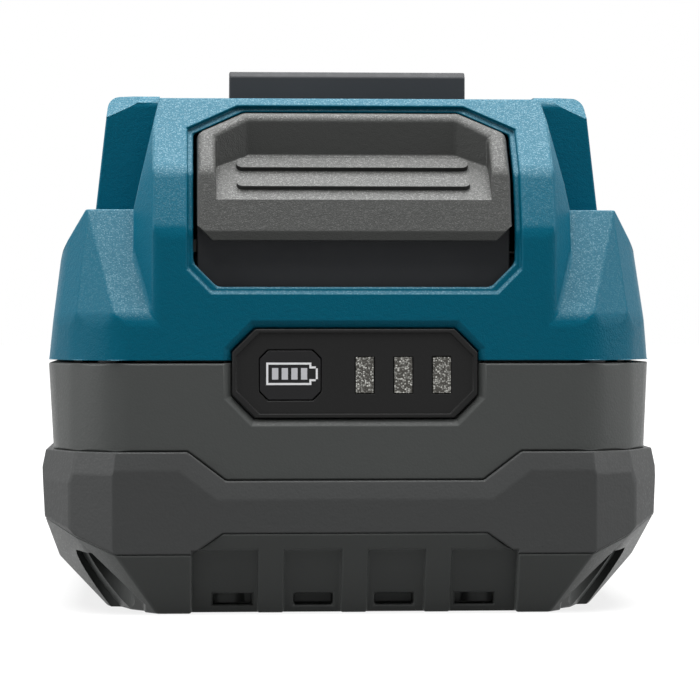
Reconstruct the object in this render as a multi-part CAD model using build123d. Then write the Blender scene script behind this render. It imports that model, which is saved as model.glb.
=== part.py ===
from build123d import *
import math
import os

# Slide-on battery pack for cordless tools, in millimetres.
# X runs across the pack, Y from the button end (minus) to the rear (plus), Z up.
# The origin is the middle of the underside.
# Depths named "_in" are measured inward from the flat end face of the case.

# Wall of both shells
wall = 2.3

# Release button: how far it reaches in from the end face
button_back_in = 10.9

# Return springs under the latch slider
spring_radius = 2.5
spring_wire_radius = 0.4
spring_turns = 5
spring_length = 15.8
spring_end_gap = 0.02
spring_post_radius = 3.4
spring_spigot_radius = 1.7
spring_spigot_height = 3.0
spring_pad_thickness = 3.0
spring_guide_gap = 0.3
spring_outer = spring_radius + spring_wire_radius
spring_in = button_back_in - spring_outer

# Cells, their holders and the strips and sheets at their ends
cell_radius = 9.1
cell_length = 65.2
cell_gap = 0.6
cell_columns = 5
cell_rows = 2
cell_cap_radius = 3.1
cell_cap_height = 0.6
cell_edge = 0.5
holder_bore_clearance = 0.1
holder_web = 0.7
holder_floor_web = 2.3
holder_front_gap = 0.2
holder_rear_gap = 5.9
holder_side_inset = 8.0
holder_depth = 17.0
holder_case_gap = 0.3
strip_thickness = 0.2
strip_width = 8.0
strip_inset = 3.0
strip_tab_width = 5.0
sheet_thickness = 0.3
sheet_gap = 0.1
sheet_margin = 2.4
sheet_side_gap = 2.1
foam_thickness = 1.2
foam_width = 6.0
foam_length_share = 0.8
cell_pitch = 2 * cell_radius + cell_gap
holder_edge = holder_bore_clearance + holder_web
holder_foot_z = wall + foam_thickness
cell_low_z = holder_foot_z + holder_floor_web + cell_radius
cell_front_in = spring_in + spring_post_radius + holder_front_gap + holder_edge
cell_rear_in = wall + holder_rear_gap + holder_edge
holder_top_z = cell_low_z + (cell_rows - 1) * cell_pitch + cell_radius + holder_edge

# Case outline seen from above
corner_start_inset = 8.6
corner_middle_inset = 3.7
corner_middle_in = 3.3
corner_end_in = 10.5
case_half_width = cell_length / 2 + strip_thickness + sheet_gap + sheet_thickness + sheet_side_gap + wall
case_half_length = (cell_front_in + (cell_columns - 1) * cell_pitch + 2 * cell_radius + cell_rear_in) / 2
corner_start_x = case_half_width - corner_start_inset
corner_middle_x = case_half_width - corner_middle_inset
holder_outer_x = case_half_width - holder_side_inset

# Heights of the case, stacked on the cells and the board
board_post_height = 1.0
board_thickness = 1.6
deck_board_gap = 0.9
deck_over_knee = 5.1
deck_over_seam = 18.85
upright_height = 5.25
platform_height = 14.0
seam_gap = 0.32
board_z = holder_top_z + board_post_height
deck_z = board_z + board_thickness + deck_board_gap + wall
knee_z = deck_z - deck_over_knee
seam_z = deck_z - deck_over_seam
upright_top_z = seam_z + upright_height
platform_z = deck_z + platform_height

# Shoulder of the upper case
knee_inset = 1.6
deck_inset = 4.8
deck_in = 7.0
corner_one_lean = 3.8
corner_two_lean = 2.94
knee_half_width = case_half_width - knee_inset
deck_half_width = case_half_width - deck_inset

# Charge gauge in the front wall; the shares are parts of its half width
gauge_half_width = 14.9
gauge_over_seam = 4.15
gauge_height = 10.8
gauge_cut = 2.8
gauge_seat_clearance = 0.15
gauge_seat_web = 0.8
gauge_ledge = 1.2
gauge_rim = 0.5
gauge_rim_step = 0.3
gauge_dish = 1.0
gauge_dish_depth = 0.5
gauge_middle_drop = 0.2
window_start_share = 0.08
window_pitch_share = 0.315
window_width_share = 0.155
window_height = 4.5
window_count = 3
key_place_share = 0.527
key_width_share = 0.476
key_height = 5.7
key_corner = 1.0
key_clearance = 0.22
key_travel = 0.6
key_flange = 0.5
key_flange_thickness = 0.8
key_stem_radius = 1.2
gauge_board_in = 6.2
gauge_board_thickness = 1.0
gauge_board_low_inset = 0.7
gauge_board_high_inset = 2.8
led_height = 0.9
led_margin = 0.5
led_length = 2.6
tact_margin = 2.7
tact_height = 1.3
tact_button_radius = 1.1
tact_button_height = 0.35
gauge_guide_share = 0.845
gauge_guide_cover = 0.5
gauge_guide_lip = 0.3
gauge_guide_wall = 1.1
gauge_guide_slack = 0.05
gauge_top_z = seam_z + gauge_over_seam
gauge_bottom_z = gauge_top_z - gauge_height
gauge_middle_z = (gauge_top_z + gauge_bottom_z) / 2 - gauge_middle_drop
gauge_seat_depth = wall - gauge_seat_web
gauge_back_in = wall
window_width = gauge_half_width * window_width_share
key_x = -gauge_half_width * key_place_share
key_width = gauge_half_width * key_width_share
led_width = window_width - led_margin
tact_size = key_width - tact_margin
gauge_guide_outer_x = gauge_half_width * gauge_guide_share
gauge_board_half_width = gauge_guide_outer_x - gauge_guide_cover
gauge_board_bottom_z = gauge_bottom_z + gauge_board_low_inset
gauge_board_top_z = gauge_top_z - gauge_board_high_inset

# Pocket for the release button, wide enough for the springs beside the gauge board
pocket_side_gap = 0.45
slider_side_margin = 0.45
pocket_top_inset = 1.8
pocket_height = 21.8
pocket_top_cut_x = 6.1
pocket_top_cut_z = 2.9
pocket_bottom_cut = 2.9
pocket_rim = 0.7
pocket_reach = 14.0
spring_x = gauge_guide_outer_x + spring_guide_gap + spring_outer
slider_half_width = spring_x + spring_outer + slider_side_margin
pocket_half_width = slider_half_width + pocket_side_gap
pocket_top_z = platform_z - pocket_top_inset
pocket_bottom_z = pocket_top_z - pocket_height

# Raised nose that carries the release button
nose_side_width = 7.3
nose_top_inset = 3.1
nose_face_inset = 2.5
nose_corner_in = 4.3
nose_upright_drop = 16.9
nose_bend_drop = 9.3
nose_bend_in = 2.5
nose_top_in = 11.0
nose_groove_gap = 0.5
nose_half_width = pocket_half_width + nose_side_width
nose_top_half_width = nose_half_width - nose_top_inset
nose_face_half_width = nose_half_width - nose_face_inset
nose_upright_top_z = platform_z - nose_upright_drop
nose_bend_z = platform_z - nose_bend_drop

# Release button and latch slider
button_clearance = 0.45
button_bottom_cut = 1.9
button_top_gap = 0.15
button_stop_gap = 0.6
button_stand_out = 0.1
button_top_cut_x = 5.8
button_top_cut_z = 2.7
scoop_side_inset = 2.8
scoop_corner_cut_x = 3.9
scoop_corner_cut_in = 1.9
scoop_back_wall = 2.55
scoop_floor_drop = 5.35
scoop_lip_height = 5.0
grip_rib_inset = 2.5
grip_rib_length = 2.0
grip_rib_lift = 0.55
grip_rib_round = 0.8
grip_rib_place_shares = (0.24, 0.67)
core_wall = 2.0
latch_travel = 5.0
slider_wall_gap = 0.5
slider_plate = 2.0
slider_tail = 2.0
slider_bottom_cut = 1.6
slider_top_rise = 5.4
slider_roof = 1.6
slider_riser = 2.1
bridge_board_gap = 0.8
bridge_height = 4.0
bridge_inset = 2.65
bridge_web = 8.5
tongue_inset = 1.5
tongue_run = 6.5
tongue_thickness = 4.5
tongue_height = 3.9
tongue_edge = 0.7
tongue_ramp_depth = 2.4
tongue_ramp_height = 3.2
tongue_slot_clearance = 0.35
button_bottom_z = pocket_bottom_z + latch_travel + button_stop_gap
button_top_z = pocket_top_z - button_top_gap
scoop_half_width = pocket_half_width - scoop_side_inset
scoop_back_half_width = scoop_half_width - scoop_corner_cut_x
scoop_back_in = button_back_in - scoop_back_wall
scoop_floor_z = button_top_z - scoop_floor_drop
scoop_lip_z = button_bottom_z + scoop_lip_height
grip_rib_half_length = scoop_half_width - grip_rib_inset
slider_face_in = wall + slider_wall_gap
slider_bottom_z = pocket_bottom_z - slider_tail
slider_top_z = button_bottom_z + slider_top_rise
spring_seat_z = slider_bottom_z - spring_length
bridge_bottom_z = board_z + board_thickness + latch_travel + bridge_board_gap
bridge_top_z = bridge_bottom_z + bridge_height
bridge_half_width = slider_half_width - bridge_inset
bridge_window_half_width = bridge_half_width - bridge_web
tongue_half_width = bridge_half_width - tongue_inset
tongue_in = button_back_in + tongue_run
tongue_top_z = platform_z + tongue_height

# Platform with the two rail grooves
platform_inset = 0.9
platform_draft = 1.6
platform_tongue_gap = 0.9
platform_rear_in = 7.6
platform_round = 1.5
ear_rise = 0.7
ear_facet_width = 5.8
ear_facet_height = 2.7
ear_facet_in = 3.2
rail_groove_depth = 5.5
rail_groove_height = 6.2
rail_stop_length = 9.0
rail_wall = 2.8
platform_half_width = deck_half_width - platform_inset
platform_top_half_width = platform_half_width - platform_draft
platform_front_in = tongue_in - platform_tongue_gap
ear_facet_inner_x = platform_top_half_width - ear_facet_width
ear_top_z = platform_z + ear_rise
ear_facet_outer_z = ear_top_z - ear_facet_height
rail_neck_half_width = platform_half_width - rail_groove_depth
platform_hollow_half_width = rail_neck_half_width - rail_wall
nose_back_in = platform_front_in + rail_stop_length - nose_groove_gap

# Lower case and the band round it
lower_draft = 0.65
band_top_z = 19.8
band_dip = 3.5
band_dip_margin = 0.8
band_dip_slope_width = 4.6
band_bevel_height = 2.2
band_bevel_in = 0.45
band_stand_out = 1.05
band_side_top_out = 0.7
band_side_out = 0.35
band_side_low_z = 11.4
band_corner_low_z = 9.5
band_front_low_z = 7.45
band_rebate = 0.8
boot_side_inset = 1.1
boot_side_z = 6.0
foot_side_inset = 7.3
foot_in = 2.0
foot_corner_inset = 12.8
foot_corner_in = 3.0
foot_side_in = 12.8
lower_band_half_width = case_half_width - lower_draft
band_dip_z = band_top_z - band_dip
band_dip_half_width = gauge_half_width + band_dip_margin
band_side_top_half_width = case_half_width + band_side_top_out
band_side_half_width = case_half_width + band_side_out
boot_side_half_width = case_half_width - boot_side_inset
foot_half_width = case_half_width - foot_side_inset
foot_corner_x = case_half_width - foot_corner_inset

# Ribbed bays in the end skirts; the slots are blind and end in a sill
bay_corner_gap = 5.0
bay_top_z = 10.0
bay_side_slope = 3.7
bay_step_z = 7.9
bay_depth = 0.8
bay_rib_pitch_share = 0.515
bay_rib_width = 3.2
bay_slot_pitch_share = 0.5
bay_slot_place_shares = (-1.5, -0.5, 0.5, 1.5)
bay_slot_width = 4.8
bay_slot_height = 1.5
bay_slot_z = 0.9
bay_slot_depth = 3.6
bay_half_width = foot_corner_x - bay_corner_gap
bay_top_half_width = bay_half_width - bay_side_slope

# Case screws, their wells and posts
front_screw_inset = 7.8
rear_screw_inset = 9.1
front_post_gap = 2.9
rear_post_gap = 0.9
screw_seam_drop = 10.55
screw_shank_radius = 1.5
screw_head_radius = 2.3
screw_head_height = 2.0
screw_length = 17.0
screw_socket_radius = 0.9
screw_well_radius = 3.0
screw_relief_radius = 4.2
screw_relief_back = 1.8
screw_relief_end_in = 2.6
screw_relief_depth = 0.9
post_radius = 3.9
boss_deck_gap = 1.4
pilot_height = 7.95
pilot_clearance = 0.05
front_screw_x = case_half_width - front_screw_inset
front_screw_in = cell_front_in - post_radius - front_post_gap
rear_screw_x = case_half_width - rear_screw_inset
rear_screw_in = cell_rear_in - post_radius - rear_post_gap
screw_head_z = seam_z - screw_seam_drop
boss_top_z = deck_z - boss_deck_gap
pilot_top_z = seam_z + pilot_height

# Lap joint along the seam
lap_thickness = 1.0
lap_height = 2.0
lap_clearance = 0.25
seam_lip_gap = 0.5
seam_lip_inset = wall + seam_lip_gap

# Circuit board and contacts
terminal_side_gap = 1.6
terminal_screw_gap = 5.9
terminal_rear_in = 10.6
terminal_top_gap = 0.3
board_side_margin = 0.8
board_front_margin = 4.5
board_rear_margin = 0.2
board_corner = 2.0
board_post_radius = 2.6
board_screw_inset = 4.0
board_screw_radius = 1.1
board_screw_head_radius = 2.0
board_screw_head_height = 1.4
board_screw_length = 4.0
board_socket_radius = 0.65
blade_inset = 5.5
blade_slot_width = 3.2
blade_slot_front = 3.0
contact_leaf = 0.8
contact_gap = 0.9
contact_front = 5.0
contact_rear = 3.8
contact_foot = 1.0
signal_half_width = 6.4
signal_slot_front = 10.0
signal_body_half_width = 5.6
signal_body_gap = 0.8
signal_body_top_in = 4.2
signal_pin_count = 5
signal_pin_pitch = 2.0
signal_pin_width = 0.8
signal_pin_height = 2.4
fuse_length = 12.0
fuse_width = 5.0
fuse_height = 3.0
fuse_terminal_gap = 13.0
transistor_count = 4
transistor_size = 6.0
transistor_height = 1.8
transistor_pitch = 9.0
transistor_fuse_gap = 12.0
thermistor_radius = 0.8
thermistor_length = 5.0
cable_half_width = 3.5
cable_thickness = 0.3
cable_bend = 1.0
terminal_half_width = platform_hollow_half_width - terminal_side_gap
board_half_width = terminal_half_width + board_side_margin
board_front_screw_y = cell_front_in + cell_radius + cell_pitch / 2 - case_half_length
board_rear_screw_y = board_front_screw_y + cell_columns // 2 * cell_pitch
board_front_y = board_front_screw_y - board_front_margin
terminal_front_y = board_rear_screw_y + terminal_screw_gap
terminal_rear_y = case_half_length - terminal_rear_in
board_rear_y = terminal_rear_y + board_rear_margin
blade_x = terminal_half_width - blade_inset
blade_slot_front_y = terminal_front_y + blade_slot_front
contact_front_y = terminal_front_y + contact_front
contact_rear_y = terminal_rear_y - contact_rear
signal_slot_front_y = terminal_front_y + signal_slot_front
signal_body_front_y = signal_slot_front_y + signal_body_gap
fuse_y = terminal_front_y - fuse_terminal_gap
transistor_y = fuse_y - transistor_fuse_gap

# One overrun for all cuts, and one size larger than the whole pack
overrun = 3.0
reach = 400.0

outward = (Align.CENTER, Align.CENTER, Align.MIN)


def end_y(inward):
    """Y of a place this far inward from the button end."""
    return inward - case_half_length


def prism(points, axis, low, high):
    """Solid of an outline in the two other axes, drawn along one axis."""
    corners = {
        "x": [(low, a, b) for a, b in points],
        "y": [(a, low, b) for a, b in points],
        "z": [(a, b, low) for a, b in points],
    }[axis]
    way = {"x": (1, 0, 0), "y": (0, 1, 0), "z": (0, 0, 1)}[axis]
    return extrude(Face(Wire.make_polygon(corners)), high - low, dir=way)


def block(x_low, x_high, y_low, y_high, z_low, z_high):
    """Plain box between two places on each axis."""
    return prism([(x_low, y_low), (x_high, y_low), (x_high, y_high), (x_low, y_high)], "z", z_low, z_high)


def rod(x, y, z_low, z_high, radius):
    """Upright cylinder."""
    return Pos(x, y, z_low) * Cylinder(radius, z_high - z_low, align=outward)


def both_sides(shape):
    """A shape and its mirror image across the middle of the pack."""
    return shape + mirror(shape, about=Plane.YZ)


def octagon(half_width, z_low, z_high, cut_x, cut_z):
    """Outline in X and Z with four cut corners."""
    return [
        (-half_width, z_low + cut_z), (-half_width + cut_x, z_low),
        (half_width - cut_x, z_low), (half_width, z_low + cut_z),
        (half_width, z_high - cut_z), (half_width - cut_x, z_high),
        (-half_width + cut_x, z_high), (-half_width, z_high - cut_z),
    ]


def carve(planes, inset=0):
    """Solid left between planes, each a point and an outward direction, all moved in by the inset."""
    solid = Box(reach, reach, reach)
    for point, normal in planes:
        unit = Vector(*normal).normalized()
        beyond = Plane(origin=Vector(*point) - unit * inset, z_dir=unit)
        solid = solid - beyond * Box(reach, reach, reach, align=outward)
    return solid


def four_ways(planes):
    """Planes repeated on both sides and at both ends."""
    turned = [((x, y, z), (nx, ny, nz)) for (x, y, z), (nx, ny, nz) in planes]
    turned += [((-x, y, z), (-nx, ny, nz)) for (x, y, z), (nx, ny, nz) in turned]
    return turned + [((x, -y, z), (nx, -ny, nz)) for (x, y, z), (nx, ny, nz) in turned]


def corner_ways():
    """Level directions square to the two corner facets."""
    one = (corner_middle_in, corner_start_x - corner_middle_x)
    two = (corner_end_in - corner_middle_in, corner_middle_x - case_half_width)
    return one, two


def plan_planes(stand_out=0):
    """Upright end, side and corner faces of the case."""
    one, two = corner_ways()
    planes = [((0, end_y(-stand_out), 0), (0, -1, 0))]
    for across, way in ((corner_start_x, one), (case_half_width, two)):
        inward = 0 if way is one else corner_end_in
        size = math.hypot(*way)
        point = (across + stand_out * way[0] / size, end_y(inward) + stand_out * way[1] / size, 0)
        planes.append((point, (way[0], way[1], 0)))
    return four_ways(planes)


def shoulder_planes():
    """Faces of the upper case up to its deck."""
    one, two = corner_ways()
    rise = deck_z - upright_top_z
    side = (case_half_width, 0, seam_z), (knee_z - seam_z, 0, case_half_width - knee_half_width)
    chamfer = (knee_half_width, 0, knee_z), (deck_z - knee_z, 0, knee_half_width - deck_half_width)
    slope = (0, end_y(0), upright_top_z), (0, -rise, deck_in)
    leans = []
    for way, lean, inward in ((one, corner_one_lean, 0), (two, corner_two_lean, corner_end_in)):
        size = math.hypot(*way)
        across = corner_start_x if way is one else case_half_width
        slope_way = (way[0] * rise / size, way[1] * rise / size, lean)
        leans.append(((across, end_y(inward), upright_top_z), slope_way))
    return plan_planes() + four_ways([side, chamfer, slope] + leans)


def shoulder(inset=0):
    """Upper case body under the deck, down past the seam."""
    top = [((0, 0, deck_z), (0, 0, 1))]
    return carve(shoulder_planes() + top, inset) & block(-reach, reach, -reach, reach, seam_z - wall, reach)


def nose(inset=0):
    """Raised middle of the button end, with its three facets and cut corners."""
    facets = [
        ((nose_face_half_width, end_y(0), 0), (0, -1, 0)),
        ((nose_face_half_width, end_y(0), nose_upright_top_z),
         (0, nose_upright_top_z - nose_bend_z, nose_bend_in)),
        ((nose_face_half_width, end_y(nose_bend_in), nose_bend_z),
         (0, nose_bend_z - platform_z, nose_top_in - nose_bend_in)),
    ]
    corner = (nose_corner_in, nose_half_width - nose_face_half_width)
    size = math.hypot(*corner)
    planes = list(facets)
    for point, normal in facets:
        unit = Vector(*normal).normalized()
        cut = (corner[0] / size, unit.Y * corner[1] / size, unit.Z * corner[1] / size)
        planes.append((point, cut))
    draft = (platform_z - deck_z, 0, nose_half_width - nose_top_half_width)
    planes += [((nose_half_width, 0, deck_z), draft), ((nose_half_width, 0, 0), (1, 0, 0))]
    planes += [((-x, y, z), (-nx, ny, nz)) for (x, y, z), (nx, ny, nz) in planes]
    solid = carve(planes + [((0, 0, platform_z), (0, 0, 1))], inset)
    return solid & block(-reach, reach, -reach, end_y(nose_back_in), seam_z, reach)


def platform():
    """Rail block on the deck, closed at the front by the two stop faces."""
    side = (platform_z - deck_z, 0, platform_half_width - platform_top_half_width)
    planes = [((platform_half_width, 0, deck_z), side)]
    planes += [((-platform_half_width, 0, deck_z), (-side[0], 0, side[2]))]
    planes += [((0, end_y(platform_front_in), 0), (0, -1, 0)), ((0, -end_y(platform_rear_in), 0), (0, 1, 0))]
    planes += [((0, 0, ear_top_z), (0, 0, 1)), ((0, 0, upright_top_z), (0, 0, -1))]
    solid = carve(planes)
    top_edges = solid.faces().sort_by(Axis.Z)[-1].edges()
    solid = fillet(top_edges, platform_round)
    corner = Vector(ear_facet_inner_x, end_y(platform_front_in), ear_top_z)
    along = Vector(platform_top_half_width, end_y(platform_front_in), ear_facet_outer_z) - corner
    back = Vector(platform_top_half_width, end_y(platform_front_in + ear_facet_in), ear_top_z) - corner
    facet = Plane(origin=corner, z_dir=along.cross(back)) * Box(reach, reach, reach, align=outward)
    solid -= facet
    solid -= mirror(facet, about=Plane.YZ)
    solid -= block(-nose_top_half_width, nose_top_half_width, -reach, reach, platform_z, reach)
    groove_front = end_y(platform_front_in + rail_stop_length)
    groove = block(rail_neck_half_width, reach, groove_front, reach, deck_z, deck_z + rail_groove_height)
    return solid - both_sides(groove)


def upper_shell():
    """Outside of the upper case less its hollow."""
    outside = shoulder() + nose() + platform()
    rear = -end_y(platform_rear_in)
    hollow = shoulder(wall) + nose(wall)
    hollow += block(-platform_hollow_half_width, platform_hollow_half_width,
                    end_y(platform_front_in), rear - wall, upright_top_z, platform_z - wall)
    shell = outside - hollow
    return shell & block(-reach, reach, -reach, reach, seam_z + seam_gap, reach)


def pocket_outline(grow):
    """Outline of the button pocket in X and Z, grown outward."""
    half = pocket_half_width + grow
    top, bottom = pocket_top_z + grow, pocket_bottom_z - grow
    return [
        (-half, bottom + pocket_bottom_cut), (-half + pocket_bottom_cut, bottom),
        (half - pocket_bottom_cut, bottom), (half, bottom + pocket_bottom_cut),
        (half, top - pocket_top_cut_z), (half - pocket_top_cut_x, top),
        (-half + pocket_top_cut_x, top), (-half, top - pocket_top_cut_z),
    ]


def pocket():
    """Cut for the button through the nose, with a bevelled rim that follows the facets."""
    straight = prism(pocket_outline(0), "y", end_y(-overrun), end_y(pocket_reach))
    rim = prism(pocket_outline(pocket_rim), "y", end_y(-overrun), end_y(pocket_reach)) - nose(pocket_rim)
    return straight + rim


def gauge_outline(grow, cut_grow=0):
    """Outline of the gauge panel in X and Z, grown outward."""
    cut = gauge_cut + cut_grow
    return octagon(gauge_half_width + grow, gauge_bottom_z - grow, gauge_top_z + grow, cut, cut)


def gauge_seat():
    """Stepped opening for the gauge panel, in a shallow dish."""
    through = prism(gauge_outline(-gauge_ledge), "y", end_y(-overrun), end_y(wall + overrun))
    seat = prism(gauge_outline(gauge_seat_clearance), "y", end_y(-overrun), end_y(gauge_seat_depth))
    outer = Face(Wire.make_polygon([(x, end_y(0), z) for x, z in gauge_outline(gauge_dish, gauge_dish / 2)]))
    bottom = gauge_outline(gauge_seat_clearance)
    inner = Face(Wire.make_polygon([(x, end_y(gauge_dish_depth), z) for x, z in bottom]))
    return through + seat + loft([outer, inner], ruled=True)


def screw_places():
    """Places of the four case screws."""
    front, rear = end_y(front_screw_in), -end_y(rear_screw_in)
    return [(-front_screw_x, front), (front_screw_x, front), (-rear_screw_x, rear), (rear_screw_x, rear)]


def board_screw_places():
    """Places of the four board screws."""
    x = board_half_width - board_screw_inset
    return [(way * x, y) for y in (board_front_screw_y, board_rear_screw_y) for way in (-1, 1)]


def lap_ring(outer, inner, z_low, z_high):
    """Ring that follows the case wall between two insets."""
    planes = plan_planes() + four_ways([((case_half_width, 0, seam_z), (1, 0, 0))])
    ring = carve(planes, outer) - carve(planes, inner)
    return ring & block(-reach, reach, -reach, reach, z_low, z_high)


def upper_case():
    """Upper shell with rails, button pocket, tongue slot, contact slots and screw bosses."""
    shell = upper_shell() - pocket() - gauge_seat()
    outside = shoulder()
    for x, y in screw_places():
        shell += rod(x, y, seam_z + seam_gap, boss_top_z, post_radius) & outside
    for x, y in screw_places():
        shell -= rod(x, y, seam_z - overrun, pilot_top_z, screw_shank_radius + pilot_clearance)
    tongue_slot = block(-tongue_half_width - tongue_slot_clearance, tongue_half_width + tongue_slot_clearance,
                        end_y(tongue_in - tongue_slot_clearance),
                        end_y(tongue_in + tongue_thickness + tongue_slot_clearance),
                        bridge_top_z, platform_z + overrun)
    rear = -end_y(platform_rear_in) + overrun
    blade = block(blade_x - blade_slot_width / 2, blade_x + blade_slot_width / 2,
                  blade_slot_front_y, rear, deck_z + rail_groove_height, platform_z + overrun)
    signal = block(-signal_half_width, signal_half_width, signal_slot_front_y, rear,
                   deck_z + rail_groove_height, platform_z + overrun)
    return shell - tongue_slot - both_sides(blade) - signal


def lower_core(inset=0):
    """Lower case body carried down past the floor and up past the seam."""
    lean = (seam_z - band_top_z, 0, lower_band_half_width - case_half_width)
    return carve(plan_planes() + four_ways([((case_half_width, 0, seam_z), lean)]), inset)


def lower_wall():
    """Lower case body between the band and the seam."""
    return lower_core() & block(-reach, reach, -reach, reach, band_dip_z - overrun, seam_z)


def boot_planes():
    """Faces of the lower case round the band and under it."""
    out = -band_stand_out
    low = [
        ((corner_start_x, end_y(out), band_front_low_z), (foot_corner_x, end_y(foot_corner_in), 0),
         (corner_middle_x, end_y(corner_middle_in + out), band_corner_low_z)),
        ((corner_middle_x, end_y(corner_middle_in + out), band_corner_low_z),
         (foot_half_width, end_y(foot_side_in), 0),
         (band_side_half_width, end_y(corner_end_in + out), band_side_low_z)),
    ]
    facets = []
    for first, second, third in low:
        normal = (Vector(*second) - Vector(*first)).cross(Vector(*third) - Vector(*first))
        facets.append((first, (normal.X, normal.Y, normal.Z)))
    side_rise = band_top_z - band_bevel_height - band_side_low_z
    sides = [
        ((band_side_half_width, 0, band_side_low_z),
         (side_rise, 0, band_side_half_width - band_side_top_half_width)),
        ((boot_side_half_width, 0, boot_side_z),
         (band_side_low_z - boot_side_z, 0, boot_side_half_width - band_side_half_width)),
        ((foot_half_width, 0, 0), (boot_side_z, 0, foot_half_width - boot_side_half_width)),
        ((0, end_y(out), band_front_low_z), (0, -band_front_low_z, -foot_in - band_stand_out)),
    ]
    return plan_planes(band_stand_out) + four_ways(sides + facets)


def band_bevel_planes():
    """Sloping top edge of the band, on every side."""
    one, two = corner_ways()
    ledge = band_stand_out - band_bevel_in
    bevels = [((0, end_y(-ledge), band_top_z), (0, -band_bevel_height, band_bevel_in))]
    side = band_side_top_half_width - band_bevel_in
    bevels.append(((side, 0, band_top_z), (band_bevel_height, 0, band_bevel_in)))
    for way, across, inward in ((one, corner_start_x, 0), (two, case_half_width, corner_end_in)):
        size = math.hypot(*way)
        slope = (way[0] * band_bevel_height / size, way[1] * band_bevel_height / size, band_bevel_in)
        bevels.append(((across, end_y(inward - ledge), band_top_z), slope))
    return four_ways(bevels)


def dip():
    """Notch that lets the band's top edge run lower in the middle of both ends."""
    def trapezoid(share):
        half, drop = band_dip_half_width + band_bevel_height / 2 * share, band_bevel_height * share
        low, top = band_dip_z - drop, band_top_z - drop + overrun
        run = band_dip_slope_width * (top - low) / (band_top_z - band_dip_z)
        return [(-half, low), (half, low), (half + run, top), (-half - run, top)]

    ledge = band_stand_out - band_bevel_in
    faces = []
    for share in (0, 2):
        y = end_y(-ledge - share * band_bevel_in)
        faces.append(Face(Wire.make_polygon([(x, y, z) for x, z in trapezoid(share)])))
    front = loft(faces, ruled=True) + prism(trapezoid(0), "y", end_y(-ledge), end_y(overrun))
    return front + mirror(front, about=Plane.XZ)


def skirt_cuts():
    """Ribbed bays and blind slots in the skirts of both ends."""
    slope = (foot_in + band_stand_out) / band_front_low_z
    outline = [(-bay_half_width, -overrun), (-bay_half_width, band_front_low_z),
               (-bay_top_half_width, bay_top_z), (bay_top_half_width, bay_top_z),
               (bay_half_width, band_front_low_z), (bay_half_width, -overrun)]

    def before(depth):
        low = bay_top_z + overrun
        return prism([(end_y(-band_stand_out - overrun), -overrun),
                      (end_y(-band_stand_out + (bay_top_z + overrun) * slope + depth), -overrun),
                      (end_y(-band_stand_out - overrun * slope + depth), low),
                      (end_y(-band_stand_out - overrun), low)], "x", -reach, reach)
    cuts = prism(outline, "y", end_y(-overrun), end_y(foot_side_in)) & before(0)
    ribs = [bay_half_width * bay_rib_pitch_share * way for way in (-1, 0, 1)]
    edges = [x + way * bay_rib_width / 2 for x in ribs for way in (-1, 1)]
    edges = [-bay_half_width] + edges + [bay_half_width]
    for left, right in zip(edges[0::2], edges[1::2]):
        bay = block(left, right, end_y(-overrun), end_y(foot_side_in), -overrun, bay_step_z)
        cuts += bay & before(bay_depth)
    for place in bay_slot_place_shares:
        x = place * bay_half_width * bay_slot_pitch_share
        cuts += block(x - bay_slot_width / 2, x + bay_slot_width / 2, end_y(0),
                      end_y(foot_in + bay_slot_depth), bay_slot_z, bay_slot_z + bay_slot_height)
    return cuts + mirror(cuts, about=Plane.XZ)


def slot_sill():
    """Solid sill inside both ends, so that the slots of the skirts stay blind."""
    inner = foot_in + bay_slot_depth + wall
    top = bay_slot_z + bay_slot_height + wall
    sill = block(-bay_half_width, bay_half_width, end_y(0), end_y(inner), 0, top)
    return sill + mirror(sill, about=Plane.XZ)


def boot():
    """Outside of the lower case round and under the band."""
    top = [((0, 0, band_top_z), (0, 0, 1)), ((0, 0, 0), (0, 0, -1))]
    return carve(boot_planes() + band_bevel_planes() + top) - dip() - skirt_cuts()


def band_zone():
    """Space between the band's lower and upper edges, seen from the end."""
    half = [(0, bay_top_z), (bay_top_half_width, bay_top_z), (bay_half_width, band_front_low_z),
            (corner_start_x, band_front_low_z), (corner_middle_x, band_corner_low_z),
            (band_side_half_width, band_side_low_z), (band_side_half_width + overrun, band_side_low_z)]
    low = [(-x, z) for x, z in reversed(half[1:])] + half
    top = band_top_z + overrun
    outline = low + [(half[-1][0], top), (-half[-1][0], top)]
    return prism(outline, "y", -case_half_length - overrun, case_half_length + overrun)


def bumper_band():
    """Soft band moulded round the lower case, set into a rebate."""
    return (boot() & band_zone()) - lower_core(band_rebate)


def lower_hollow():
    """Inside of the lower case, a little narrower behind the band."""
    floor = [((0, 0, 0), (0, 0, -1))]
    low = carve(boot_planes() + floor, wall) & lower_core(wall + band_rebate / 2)
    high = lower_core(wall) & block(-reach, reach, -reach, reach, band_top_z, reach)
    return low + high


def seam_lip():
    """Lip that centres the upper case, on a thicker ring under the seam."""
    base = lap_ring(wall / 2, seam_lip_inset + lap_thickness, seam_z - lap_height - lap_height, seam_z)
    lip = lap_ring(seam_lip_inset, seam_lip_inset + lap_thickness, seam_z, seam_z + lap_height)
    gate = gauge_half_width + gauge_dish
    gap = block(-gate, gate, end_y(wall), end_y(wall + overrun), band_top_z, seam_z + lap_height + overrun)
    return base + lip - gap


def screw_relief(x, y):
    """Shallow recess round a screw well, drawn out toward the nearer end of the case."""
    way = math.copysign(1, y)
    middle = y - way * screw_relief_back
    mouth = way * (case_half_length - screw_relief_end_in)
    radius = screw_relief_radius
    relief = rod(x, middle, -overrun, band_front_low_z, radius)
    front, rear = min(middle, mouth), max(middle, mouth)
    return relief + block(x - radius, x + radius, front, rear, -overrun, band_front_low_z)


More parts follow.
